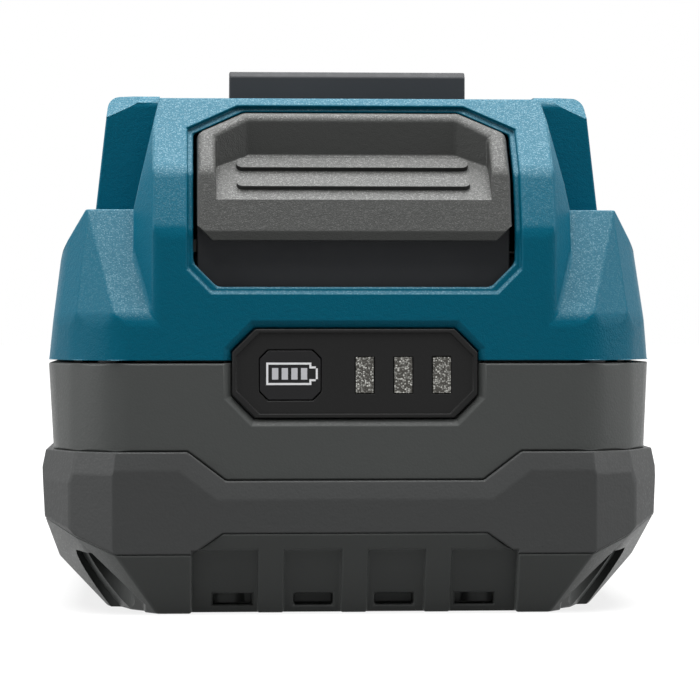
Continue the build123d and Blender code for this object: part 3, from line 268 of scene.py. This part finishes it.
@dataclass(frozen=True)
class Finish:
    """A moulded, rubbed or metal surface made only of nodes; colours are screen values. The crest
    colour is painted sheen and glints.
    """

    name: str
    colour: tuple[int, int, int]
    crest: tuple[int, int, int]
    grain: Grain
    roughness: float = 0.5
    crest_share: float = 0.3
    cloud_share: float = 0.08
    metallic: float = 0.0
    coat: float = 0.0
    specular: float = 0.4
    # Painted sheen: upright_crests keeps a little of it on upright faces; the next field is its
    # even level on faces that look up.
    upright_crests: float = 0.02
    painted_sheen: float = 0.2
    valley_roughness: float = 0.06
    crest_polish: float = 0.08

    def build(self) -> bpy.types.Material:
        """Makes the material, or returns it if it is there already."""
        label = f"{self.name}_finish"
        known = bpy.data.materials.get(label)
        if known is not None:
            return known
        material = bpy.data.materials.new(label)
        material.use_nodes = True
        nodes, links = material.node_tree.nodes, material.node_tree.links
        shader = nodes["Principled BSDF"]
        size, height = self.grain.value
        grain = nodes.new("ShaderNodeGroup")
        grain.node_tree = GROUPS["grain"]
        grain.inputs["Grain Size"].default_value = size
        # The tone group mixes painted sheen and glints into the base colour, most on faces that
        # look up.
        tone = nodes.new("ShaderNodeGroup")
        tone.node_tree = GROUPS["tone"]
        tone.inputs["Colour"].default_value = linear(*self.colour)
        tone.inputs["Crest Colour"].default_value = linear(*self.crest)
        tone.inputs["Crest Share"].default_value = self.crest_share
        tone.inputs["Cloud Share"].default_value = self.cloud_share
        tone.inputs["Upright Crests"].default_value = self.upright_crests
        tone.inputs["Painted Sheen"].default_value = self.painted_sheen
        links.new(grain.outputs["Crests"], tone.inputs["Crests"])
        links.new(tone.outputs["Colour"], shader.inputs["Base Color"])
        bump = nodes.new("ShaderNodeBump")
        bump.inputs["Distance"].default_value = height
        links.new(grain.outputs["Height"], bump.inputs["Height"])
        links.new(bump.outputs["Normal"], shader.inputs["Normal"])
        gloss = (self.roughness + self.valley_roughness, self.roughness - self.crest_polish)
        links.new(spread(material.node_tree, grain.outputs["Crests"], (0.0, 1.0), gloss),
                  shader.inputs["Roughness"])
        shader.inputs["Metallic"].default_value = self.metallic
        shader.inputs["Coat Weight"].default_value = self.coat
        shader.inputs["Specular IOR Level"].default_value = self.specular
        return material


# The crest colours are paler ones, mixed in as painted glints and sheen on faces that look up.
TEAL = Finish("teal_shell", (0, 82, 103), (160, 190, 200), Grain.SPARKED,
              roughness=0.34, crest_share=0.55, specular=0.06)
GREY = Finish("grey_shell", (66, 68, 67), (120, 122, 120), Grain.SATIN,
              roughness=0.36, crest_share=0.2, specular=0.15)
BAND = Finish("band", (61, 62, 62), (100, 100, 99), Grain.RUBBER,
              roughness=0.45, crest_share=0.2, specular=0.12)
BUTTON = Finish("button_grey", (50, 51, 50), (150, 150, 148), Grain.SPARKED,
                roughness=0.38, crest_share=0.6, specular=0.15)
SLIDER = Finish("slider_black", (52, 53, 55), (60, 61, 63), Grain.MATT,
                roughness=0.42, crest_share=0.05, cloud_share=0.4, specular=0.12)
PANEL = Finish("panel_black", (28, 28, 28), (36, 36, 36), Grain.SATIN,
               roughness=0.36, crest_share=0.1, specular=0.12)
KEY = Finish("key_black", (31, 31, 32), (38, 38, 38), Grain.SATIN,
             roughness=0.42, crest_share=0.1, specular=0.12)
PRINT = Finish("white_print", (222, 222, 224), (235, 235, 235), Grain.SMOOTH,
               roughness=0.55, crest_share=0.2)
GREY_PRINT = Finish("grey_print", (188, 188, 192), (165, 165, 165), Grain.SMOOTH,
                    roughness=0.55, crest_share=0.2)
FROST = Finish("window_frost", (52, 50, 45), (255, 255, 248), Grain.COARSE,
               roughness=0.42, crest_share=1.0, upright_crests=1.0, painted_sheen=0.0)
STEEL = Finish("spring_steel", (150, 150, 152), (190, 190, 190), Grain.SMOOTH,
               roughness=0.3, metallic=1.0)
SCREW = Finish("screw_steel", (90, 90, 92), (130, 130, 130), Grain.SATIN,
               roughness=0.4, metallic=1.0)
NICKEL = Finish("nickel", (190, 186, 178), (215, 212, 205), Grain.SATIN,
                roughness=0.28, metallic=1.0)
BRASS = Finish("contact_brass", (196, 170, 112), (225, 205, 150), Grain.SATIN,
               roughness=0.3, metallic=1.0)
BOARD = Finish("board_green", (26, 84, 50), (52, 120, 78), Grain.SATIN, roughness=0.35, coat=0.3)
CHIP = Finish("chip_black", (34, 34, 35), (54, 54, 54), Grain.SATIN, roughness=0.5)
CERAMIC = Finish("fuse_white", (206, 202, 190), (224, 222, 214), Grain.SATIN, roughness=0.45)
SLEEVE = Finish("cell_sleeve", (46, 104, 138), (92, 142, 168), Grain.SMOOTH,
                roughness=0.25, coat=0.4)
HOLDER = Finish("holder_black", (38, 38, 40), (58, 58, 60), Grain.SATIN, roughness=0.5)
FIBRE = Finish("fibre", (168, 160, 132), (196, 190, 168), Grain.RUBBER, roughness=0.8)
FOAM = Finish("foam", (50, 50, 50), (84, 84, 84), Grain.COARSE, roughness=0.9)
CREAM = Finish("connector_cream", (214, 208, 186), (230, 226, 210), Grain.SATIN, roughness=0.4)
RIBBON = Finish("cable_white", (216, 216, 212), (232, 232, 230), Grain.SMOOTH, roughness=0.4)
LAMP = Finish("lamp", (230, 228, 206), (244, 242, 230), Grain.SMOOTH, roughness=0.2, coat=0.5)


def dress(piece: bpy.types.Object, finish: Finish) -> None:
    """Gives a piece one finish in every material slot.

    Args:
        piece: The object to dress.
        finish: Its finish.
    """
    material = finish.build()
    if not piece.material_slots:
        piece.data.materials.append(material)
    for entry in piece.material_slots:
        entry.material = material


def plain_mesh(piece: bpy.types.Object) -> None:
    """Turns a piece's modifiers into its own mesh and removes them.

    Args:
        piece: The object to finish.
    """
    bpy.context.view_layer.update()
    evaluated = piece.evaluated_get(bpy.context.evaluated_depsgraph_get())
    finished = bpy.data.meshes.new_from_object(evaluated)
    piece.modifiers.clear()
    piece.data = finished


def new_piece(name: str, mesh: bpy.types.Mesh) -> bpy.types.Object:
    """Puts a mesh into the scene as a piece at the origin.

    Args:
        name: The piece's name.
        mesh: Its mesh, in the frame's metres.

    Returns:
        The new object.
    """
    piece = bpy.data.objects.new(name, mesh)
    bpy.context.scene.collection.objects.link(piece)
    return piece


def gap_between(first: list[Vector], second: list[Vector]) -> float:
    """Measures how far apart two straight edges of one face are.

    Args:
        first: The ends of one edge.
        second: The ends of the other.

    Returns:
        The smallest distance from an end of one to the other.
    """
    gaps = []
    for ends, points in ((first, second), (second, first)):
        for point in points:
            near, share = intersect_point_line(point, *ends)
            gaps.append((point - ends[0].lerp(ends[1], min(1.0, max(0.0, share)))).length)
    return min(gaps)


@dataclass(frozen=True)
class SoftEdge:
    """How far a moulded part's edges are rounded, and how each edge finds the room it has.

    The first five fields are the widths of a plain edge, a long edge of the form, an upright outer
    corner, a crisp edge and an edge of the platform's outer strips. The next ones say which edges
    those are. The last ones, from room_share on, fit the widths to the mesh and even its shading.
    """

    width: float = 0.35 * MM
    form: float = 0.0
    corner: float = 0.0
    fine: float = 0.12 * MM
    ear: float = 0.25 * MM
    segments: int = 3
    sharp: float = math.radians(18)
    faint: float = math.radians(4)
    form_length: float = 5 * MM
    corner_x: float = 28 * MM
    corner_y: float = 46 * MM
    upright: float = 0.9
    fine_reach: float = 2.5 * MM
    seam_reach: float = 0.1 * MM
    crisp_below: float = 0.0
    ear_x: float = 24 * MM
    ear_z: float = 45 * MM
    room_share: float = 0.44
    rounds: int = 30
    slack: float = 0.01
    least_cut: float = 0.3
    least_sine: float = 0.02
    weld: float = 0.004 * MM
    flat: float = math.radians(0.5)
    area_weight: int = 100

    def weigh(self, work: bmesh.types.BMesh) -> None:
        """Gives each edge its share of the widest rounding, and marks those that stay sharp.

        Args:
            work: The mesh being rounded.
        """
        layer = work.edges.layers.float.new("bevel_weight_edge")
        widths = {edge: self.wish(edge) for edge in work.edges if len(edge.link_faces) == 2}
        widths = {edge: width for edge, width in widths.items() if width > 0}
        for edge in widths:
            widths[edge] = min(widths[edge], self.clear_of_others(edge, widths))
        for _ in range(self.rounds):
            if not self.settle(work, widths):
                break
        widest = max(self.width, self.form, self.corner)
        for edge in work.edges:
            edge[layer] = widths.get(edge, 0.0) / widest
            edge.smooth = edge in widths or edge.calc_face_angle(0.0) < self.sharp

    def wish(self, edge: bmesh.types.BMEdge) -> float:
        """Finds the rounding that an edge would have with room to spare.

        Args:
            edge: The edge in question.

        Returns:
            The width, or zero for an edge that stays as it is.
        """
        bend = edge.calc_face_angle(0.0)
        if self.is_fine(edge):
            return self.fine if bend > self.sharp else 0.0
        middle = (edge.verts[0].co + edge.verts[1].co) / 2
        if abs(middle.x) > self.ear_x and middle.z > self.ear_z:
            rounded = bend > self.sharp and middle.y < self.corner_y
            return min(self.ear, self.width) if rounded else 0.0
        long = edge.calc_length() > self.form_length
        if bend > self.faint and self.corner and self.is_corner(edge):
            return self.corner
        if self.form and bend > self.faint and long and edge.is_convex:
            return self.form
        return self.width if bend > self.sharp else 0.0

    def clear_of_others(self, edge: bmesh.types.BMEdge,
                        widths: dict[bmesh.types.BMEdge, float]) -> float:
        """Finds the width at which an edge stays clear of the far edges of its two faces.

        Args:
            edge: The edge in question.
            widths: The edges that will be rounded.

        Returns:
            The greatest width.
        """
        limit = self.corner + self.form + self.width
        ends = [vert.co for vert in edge.verts]
        for face in edge.link_faces:
            for other in face.edges:
                if other is edge or set(other.verts) & set(edge.verts):
                    continue
                share = self.room_share if other in widths else 2 * self.room_share
                far = [vert.co for vert in other.verts]
                limit = min(limit, share * gap_between(ends, far))
        return limit

    def settle(self, work: bmesh.types.BMesh, widths: dict[bmesh.types.BMEdge, float]) -> bool:
        """Narrows neighbouring edges whose roundings would run past a shared edge's end.

        Args:
            work: The mesh being rounded.
            widths: The widths so far, changed in place.

        Returns:
            True if any width was changed.
        """
        changed = False
        for face in work.faces:
            for loop in face.loops:
                first, second = loop.link_loop_prev.edge, loop.edge
                one, two = widths.get(first, 0.0), widths.get(second, 0.0)
                if not one and not two:
                    continue
                turn = loop.calc_angle()
                sine, cosine = max(math.sin(turn), self.least_sine), math.cos(turn)
                pairs = ((first, second, one, two), (second, first, two, one))
                for edge, other, own, its in pairs:
                    run = (its + own * cosine) / sine
                    room = self.room_share * edge.calc_length()
                    if run > room * (1 + self.slack):
                        for part in (edge, other):
                            if part in widths:
                                widths[part] *= max(room / run, self.least_cut)
                        changed = True
                    elif run < -room and own and its:
                        widths[edge] = min(own, its / abs(cosine))
                        changed = changed or widths[edge] < own * (1 - self.slack)
        return changed

    def is_corner(self, edge: bmesh.types.BMEdge) -> bool:
        """Tells whether an edge is one of the upright outer corners of the case.

        Args:
            edge: The edge in question.

        Returns:
            True for an upright convex edge at a corner of the case.
        """
        first, second = (vert.co for vert in edge.verts)
        along, middle = (second - first).normalized(), (first + second) / 2
        outside = abs(middle.x) > self.corner_x and abs(middle.y) > self.corner_y
        return outside and edge.is_convex and abs(along.z) > self.upright

    def is_fine(self, edge: bmesh.types.BMEdge) -> bool:
        """Tells whether an edge is crisp in the mould.

        Args:
            edge: The edge in question.

        Returns:
            True for an edge on the seam, near the gauge or below the part's crisp height.
        """
        first, second = (vert.co for vert in edge.verts)
        middle, reach = (first + second) / 2, self.fine_reach
        seat = all(low - reach < value < high + reach
                   for low, value, high in zip(GAUGE_BOX[0], middle, GAUGE_BOX[1]))
        seam = max(abs(first.z - SEAM_HEIGHT), abs(second.z - SEAM_HEIGHT)) < self.seam_reach
        return seat or seam or max(first.z, second.z) < self.crisp_below

    def copy_of(self, node: str, name: str, grow: float = 0.0) -> bpy.types.Object:
        """Makes a copy of a CAD node with rounded edges.

        Args:
            node: The node to copy.
            name: The new piece's name.
            grow: How far the copy's outline is widened to each side, as seen from the front.

        Returns:
            The rounded piece.
        """
        work = bmesh.new()
        work.from_mesh(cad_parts[node].data)
        low, high = (Vector(corner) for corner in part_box(node))
        middle, size = (low + high) / 2, high - low
        for vert in work.verts:
            for axis in (0, 2):
                vert.co[axis] += 2 * grow * (vert.co[axis] - middle[axis]) / size[axis]
        bmesh.ops.remove_doubles(work, verts=work.verts, dist=self.weld)
        bmesh.ops.dissolve_limit(work, angle_limit=self.flat, verts=work.verts, edges=work.edges)
        self.weigh(work)
        mesh = bpy.data.meshes.new(name)
        work.to_mesh(mesh)
        work.free()
        piece = new_piece(name, mesh)
        for face in mesh.polygons:
            face.use_smooth = True
        bevel = piece.modifiers.new("round", "BEVEL")
        bevel.width = max(self.width, self.form, self.corner)
        bevel.segments = self.segments
        bevel.limit_method = "WEIGHT"
        bevel.use_clamp_overlap = False
        shading = piece.modifiers.new("flat", "WEIGHTED_NORMAL")
        shading.mode = "FACE_AREA"
        shading.weight = self.area_weight
        shading.keep_sharp = True
        plain_mesh(piece)
        return piece


@dataclass
class MouldedPart:
    """One moulded node, shown as a copy with rounded edges."""

    node: str
    body: Body
    finish: Finish
    edge: SoftEdge
    grow: float = 0.0

    def build(self) -> bpy.types.Object:
        """Makes the rounded piece, dresses it and puts it in the node's place."""
        piece = self.edge.copy_of(self.node, f"{self.node}_finished", self.grow)
        dress(piece, self.finish)
        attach(piece, self.body.value)
        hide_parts(self.node)
        log.info("%s: %d faces", piece.name, len(piece.data.polygons))
        return piece


@dataclass
class Housing:
    """The two case shells and the band between them."""

    shell_edge: float = 0.5 * MM
    shell_form: float = 1.1 * MM
    lower_edge: float = 0.35 * MM
    band_edge: float = 0.2 * MM
    corner: float = 2.2 * MM
    form_length: float = 2 * MM

    def build(self) -> list[bpy.types.Object]:
        """Makes the upper shell, the lower shell and the band."""
        upper = SoftEdge(self.shell_edge, self.shell_form, self.corner,
                         form_length=self.form_length)
        lower = SoftEdge(self.lower_edge, self.lower_edge, self.corner)
        band = SoftEdge(self.band_edge, self.band_edge, self.corner)
        return [
            MouldedPart("upper_case", Body.PACK, TEAL, upper).build(),
            MouldedPart("lower_case", Body.PACK, GREY, lower).build(),
            MouldedPart("bumper_band", Body.PACK, BAND, band).build(),
        ]


@dataclass
class ReleaseLatch:
    """The button cap and the black slider under it."""

    cap_edge: float = 0.3 * MM
    cap_form: float = 0.8 * MM
    cap_crisp: float = 47.5 * MM
    cap_length: float = 2 * MM
    slider_edge: float = 0.2 * MM

    def build(self) -> list[bpy.types.Object]:
        """Makes the cap and the slider."""
        cap = SoftEdge(self.cap_edge, self.cap_form, form_length=self.cap_length,
                       crisp_below=self.cap_crisp)
        return [
            MouldedPart("release_button", Body.LATCH, BUTTON, cap).build(),
            MouldedPart("latch_slider", Body.LATCH, SLIDER, SoftEdge(self.slider_edge)).build(),
        ]


@dataclass
class ReturnSprings:
    """The springs under the slider, which shorten as the latch goes down."""

    travel: float = 5.0 * MM

    def build(self) -> bpy.types.Object:
        """Makes the springs' piece, a copy of the CAD node that stays on the pack."""
        piece = new_piece("latch_springs_finished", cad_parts["latch_springs"].data.copy())
        dress(piece, STEEL)
        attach(piece, Body.PACK.value)
        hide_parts("latch_springs")
        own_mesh(piece)
        log.info("%s: %d faces", piece.name, len(piece.data.polygons))
        return piece


@dataclass
class BatterySign:
    """Generic battery symbol printed on the check key."""

    width: float = 5.48 * MM
    height: float = 2.72 * MM
    line: float = 0.25 * MM
    tip_width: float = 0.78 * MM
    tip_height: float = 1.8 * MM
    bar_width: float = 0.76 * MM
    bar_height: float = 1.4 * MM
    bar_pitch: float = 1.17 * MM
    bar_count: int = 4
    thickness: float = 0.03 * MM
    bar_shift: float = 0.1 * MM
    shift_x: float = -0.18 * MM
    shift_z: float = 0.16 * MM

    def build(self) -> list[bpy.types.Object]:
        """Makes the outline and repeats the bars, as two printed pieces on the key."""
        low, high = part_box("check_button")
        middle = Vector(((low[0] + high[0]) / 2 + self.shift_x, low[1] - self.thickness / 2,
                         (low[2] + high[2]) / 2 + self.shift_z))
        work = bmesh.new()
        half_x, half_z, line = self.width / 2, self.height / 2, self.line
        tip, end = self.tip_height / 2, half_x + self.tip_width
        self.plate(work, middle, -half_x, half_x, half_z - line, half_z)
        self.plate(work, middle, -half_x, half_x, -half_z, -half_z + line)
        self.plate(work, middle, -half_x, -half_x + line, -half_z + line, half_z - line)
        for low_z, high_z in ((-half_z + line, line - tip), (tip - line, half_z - line)):
            self.plate(work, middle, half_x - line, half_x, low_z, high_z)
        self.plate(work, middle, half_x, end - line, tip - line, tip)
        self.plate(work, middle, half_x, end - line, -tip, line - tip)
        self.plate(work, middle, end - line, end, line - tip, tip - line)
        mesh = bpy.data.meshes.new("battery_sign")
        work.to_mesh(mesh)
        work.free()
        outline = new_piece("battery_sign", mesh)
        dress(outline, PRINT)
        pieces = [outline, self.bars(middle)]
        for piece in pieces:
            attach(piece, Body.KEY.value)
            log.info("%s: %d faces", piece.name, len(piece.data.polygons))
        return pieces

    def plate(self, work: bmesh.types.BMesh, middle: Vector, left: float, right: float, low: float,
              high: float) -> None:
        """Adds one thin upright plate to the print.

        Args:
            work: The mesh being made.
            middle: The middle of the key's face.
            left: Lowest X from the middle.
            right: Highest X from the middle.
            low: Lowest Z from the middle.
            high: Highest Z from the middle.
        """
        made = bmesh.ops.create_cube(work, size=1.0)["verts"]
        centre = middle + Vector(((left + right) / 2, 0, (low + high) / 2))
        bmesh.ops.scale(work, vec=(right - left, self.thickness, high - low), verts=made)
        bmesh.ops.translate(work, vec=centre, verts=made)

    def bars(self, middle: Vector) -> bpy.types.Object:
        """Repeats the charge bars with a node tree.

        Args:
            middle: The middle of the key's face.

        Returns:
            The bars as a plain mesh object.
        """
        tree = repeated_blocks("charge_bars")
        piece = new_piece("charge_bars", bpy.data.meshes.new("charge_bars"))
        half_row = self.bar_pitch * (self.bar_count - 1) / 2
        first = middle - Vector((half_row - self.bar_shift, 0, 0))
        values = {
            "Count": self.bar_count,
            "First Place": first,
            "Step": Vector((self.bar_pitch, 0, 0)),
            "Size": Vector((self.bar_width, self.thickness, self.bar_height)),
            "Material": GREY_PRINT.build(),
        }
        run_tree(piece, tree, values)
        return piece


def repeated_blocks(name: str) -> bpy.types.NodeTree:
    """Makes a node tree that repeats a block along a straight line.

    Args:
        name: The tree's name.

    Returns:
        The tree, with inputs for count, first place, step, size and material.
    """
    tree = bpy.data.node_groups.new(name, "GeometryNodeTree")
    inputs = {"Count": "NodeSocketInt", "First Place": "NodeSocketVector",
              "Step": "NodeSocketVector", "Size": "NodeSocketVector",
              "Material": "NodeSocketMaterial"}
    for label, kind in inputs.items():
        tree.interface.new_socket(name=label, in_out="INPUT", socket_type=kind)
    tree.interface.new_socket(name="Geometry", in_out="OUTPUT", socket_type="NodeSocketGeometry")
    nodes, links = tree.nodes, tree.links
    start, end = nodes.new("NodeGroupInput"), nodes.new("NodeGroupOutput")
    line = nodes.new("GeometryNodeMeshLine")
    line.mode = "OFFSET"
    links.new(start.outputs["Count"], line.inputs["Count"])
    links.new(start.outputs["First Place"], line.inputs["Start Location"])
    links.new(start.outputs["Step"], line.inputs["Offset"])
    block = nodes.new("GeometryNodeMeshCube")
    links.new(start.outputs["Size"], block.inputs["Size"])
    repeat = nodes.new("GeometryNodeInstanceOnPoints")
    links.new(line.outputs["Mesh"], repeat.inputs["Points"])
    links.new(block.outputs["Mesh"], repeat.inputs["Instance"])
    real = nodes.new("GeometryNodeRealizeInstances")
    links.new(repeat.outputs["Instances"], real.inputs["Geometry"])
    paint = nodes.new("GeometryNodeSetMaterial")
    links.new(real.outputs["Geometry"], paint.inputs["Geometry"])
    links.new(start.outputs["Material"], paint.inputs["Material"])
    links.new(paint.outputs["Geometry"], end.inputs["Geometry"])
    return tree


def run_tree(piece: bpy.types.Object, tree: bpy.types.NodeTree, values: dict[str, object]) -> None:
    """Runs a node tree on a piece with named inputs and keeps the plain mesh.

    Args:
        piece: The object that takes the result.
        tree: The node tree.
        values: The value of each named input.
    """
    modifier = piece.modifiers.new(tree.name, "NODES")
    modifier.node_group = tree
    for item in tree.interface.items_tree:
        if item.in_out == "INPUT" and item.name in values:
            modifier[item.identifier] = values[item.name]
    plain_mesh(piece)


@dataclass
class ChargeGauge:
    """The gauge panel with its check key, windows and printed sign."""

    panel_edge: float = 0.2 * MM
    key_edge: float = 0.1 * MM
    key_growth: float = 0.16 * MM

    def build(self) -> list[bpy.types.Object]:
        """Makes the panel, the key, the windows and the sign."""
        panel = SoftEdge(self.panel_edge, fine=self.panel_edge)
        key = SoftEdge(self.key_edge, fine=self.key_edge)
        pieces = [
            MouldedPart("gauge_bezel", Body.PACK, PANEL, panel).build(),
            MouldedPart("check_button", Body.KEY, KEY, key, self.key_growth).build(),
        ]
        dress(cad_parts["gauge_windows"], FROST)
        pieces += BatterySign().build()
        return pieces


@dataclass
class Inside:
    """Everything within the shells, kept as the CAD made it and given its finish."""

    def build(self) -> None:
        """Dresses every node that no piece stands for."""
        finishes = {
            "gauge_board": BOARD, "gauge_leds": LAMP, "tact_switch": CHIP, "gauge_cable": RIBBON,
            "cell_holder_left": HOLDER, "cell_holder_right": HOLDER,
            "insulation_sheet_left": FIBRE, "insulation_sheet_right": FIBRE, "foam_pads": FOAM,
            "main_board": BOARD, "board_screws": SCREW, "case_screws": SCREW,
            "terminal_block": HOLDER, "positive_terminal": BRASS, "negative_terminal": BRASS,
            "signal_connector": CREAM, "signal_pins": BRASS, "fuse": CERAMIC,
            "power_transistors": CHIP, "thermistor": CHIP,
        }
        for node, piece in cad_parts.items():
            if node in finishes:
                dress(piece, finishes[node])
            elif node.startswith("cell_"):
                dress(piece, SLEEVE)
            elif node.startswith("nickel_strip"):
                dress(piece, NICKEL)
            else:
                continue
            log.info("%s: dressed", node)


@dataclass(frozen=True)
class SoftBox:
    """One square lamp, in metres and watts."""

    name: str
    place: tuple[float, float, float]
    size: float
    power: float
    aim: tuple[float, float, float] = (0, 0, 0.03)

    def build(self) -> None:
        """Adds the lamp to the scene, turned to its aim."""
        data = bpy.data.lights.new(self.name, "AREA")
        data.size = self.size
        data.energy = self.power
        lamp = bpy.data.objects.new(self.name, data)
        lamp.location = self.place
        way = Vector(self.aim) - Vector(self.place)
        lamp.rotation_euler = way.to_track_quat("-Z", "Y").to_euler()
        bpy.context.scene.collection.objects.link(lamp)


SOFT_BOXES = (
    SoftBox("top", (0.0, -0.02, 0.80), 0.85, 18.0),
    SoftBox("left", (-0.9, -0.2, 0.35), 0.5, 6.3),
    SoftBox("right", (0.9, -0.2, 0.35), 0.5, 5.6),
    SoftBox("key", (-0.1, -0.75, 1.0), 0.5, 3.9),
)


@dataclass
class Studio:
    """Camera, floor, lamps and world."""

    camera_place: tuple[float, float, float] = (-19.88 * MM, -407.2 * MM, 36.35 * MM)
    camera_turn: float = 0.055
    camera_tip: float = -0.012
    camera_reach: float = 20.0
    focal_pixels: float = 2890.0
    photo_pixels: int = 700
    sensor: float = 36.0
    floor_half: float = 3.0
    floor_tone: float = 0.18
    floor_roughness: float = 0.7
    floor_specular: float = 0.1
    shadow_reach: tuple[float, float] = (0.12, 0.6)
    floor_glow: tuple[float, float] = (0.78, 1.02)
    world_strength: float = 0.03

    def build(self) -> None:
        """Sets up the whole studio."""
        self.camera()
        self.floor()
        self.world()
        for box in SOFT_BOXES:
            box.build()
        bpy.context.scene.view_settings.view_transform = "Standard"

    def camera(self) -> None:
        """Adds the camera at the photograph's viewing angle."""
        data = bpy.data.cameras.new("camera")
        data.sensor_width = self.sensor
        data.lens = self.focal_pixels * self.sensor / self.photo_pixels
        data.clip_end = self.camera_reach
        camera = bpy.data.objects.new("camera", data)
        camera.location = self.camera_place
        camera.rotation_euler = (math.pi / 2 + self.camera_tip, 0, -self.camera_turn)
        bpy.context.scene.collection.objects.link(camera)
        bpy.context.scene.camera = camera

    def background_rays(self, tree: bpy.types.NodeTree) -> bpy.types.NodeSocket:
        """Adds the mask of the rays that see the white background.

        Args:
            tree: The node tree of the floor or the world.

        Returns:
            A value of one for camera, glossy and transmission rays, else zero.
        """
        path = tree.nodes.new("ShaderNodeLightPath")
        total = path.outputs["Is Camera Ray"]
        for name in ("Is Glossy Ray", "Is Transmission Ray"):
            total = maths(tree, "MAXIMUM", total, path.outputs[name])
        return total

    def floor(self) -> None:
        """Adds the white floor, which keeps the object's shadow."""
        work = bmesh.new()
        bmesh.ops.create_grid(work, x_segments=1, y_segments=1, size=self.floor_half)
        mesh = bpy.data.meshes.new("floor")
        work.to_mesh(mesh)
        work.free()
        floor = new_piece("floor", mesh)
        material = bpy.data.materials.new("floor_white")
        material.use_nodes = True
        tree = material.node_tree
        nodes, links = tree.nodes, tree.links
        shader = nodes["Principled BSDF"]
        shader.inputs["Base Color"].default_value = (*[self.floor_tone] * 3, 1)
        shader.inputs["Roughness"].default_value = self.floor_roughness
        shader.inputs["Specular IOR Level"].default_value = self.floor_specular
        shader.inputs["Emission Color"].default_value = (1, 1, 1, 1)
        place = nodes.new("ShaderNodeTexCoord")
        span = nodes.new("ShaderNodeVectorMath")
        span.operation = "LENGTH"
        links.new(place.outputs["Object"], span.inputs[0])
        glow = spread(tree, span.outputs["Value"], self.shadow_reach, self.floor_glow)
        seen = maths(tree, "MULTIPLY", self.background_rays(tree), glow)
        links.new(seen, shader.inputs["Emission Strength"])
        mesh.materials.append(material)

    def world(self) -> None:
        """Lights the scene evenly, and is white where the camera or a reflection sees it."""
        world = bpy.data.worlds.new("studio")
        bpy.context.scene.world = world
        world.use_nodes = True
        nodes, links = world.node_tree.nodes, world.node_tree.links
        nodes["Background"].inputs["Strength"].default_value = self.world_strength
        nodes["Background"].inputs["Color"].default_value = (1, 1, 1, 1)
        white = nodes.new("ShaderNodeBackground")
        white.inputs["Color"].default_value = (1, 1, 1, 1)
        mix = nodes.new("ShaderNodeMixShader")
        links.new(self.background_rays(world.node_tree), mix.inputs["Fac"])
        links.new(nodes["Background"].outputs["Background"], mix.inputs[1])
        links.new(white.outputs["Background"], mix.inputs[2])
        links.new(mix.outputs["Shader"], nodes["World Output"].inputs["Surface"])


def main() -> None:
    """Builds the pack's pieces and the studio."""
    logging.basicConfig(level=logging.INFO, format="%(name)s: %(message)s")
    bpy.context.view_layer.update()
    Housing().build()
    ReleaseLatch().build()
    ReturnSprings().build()
    ChargeGauge().build()
    Inside().build()
    Studio().build()


if __name__ == "__main__":
    main()
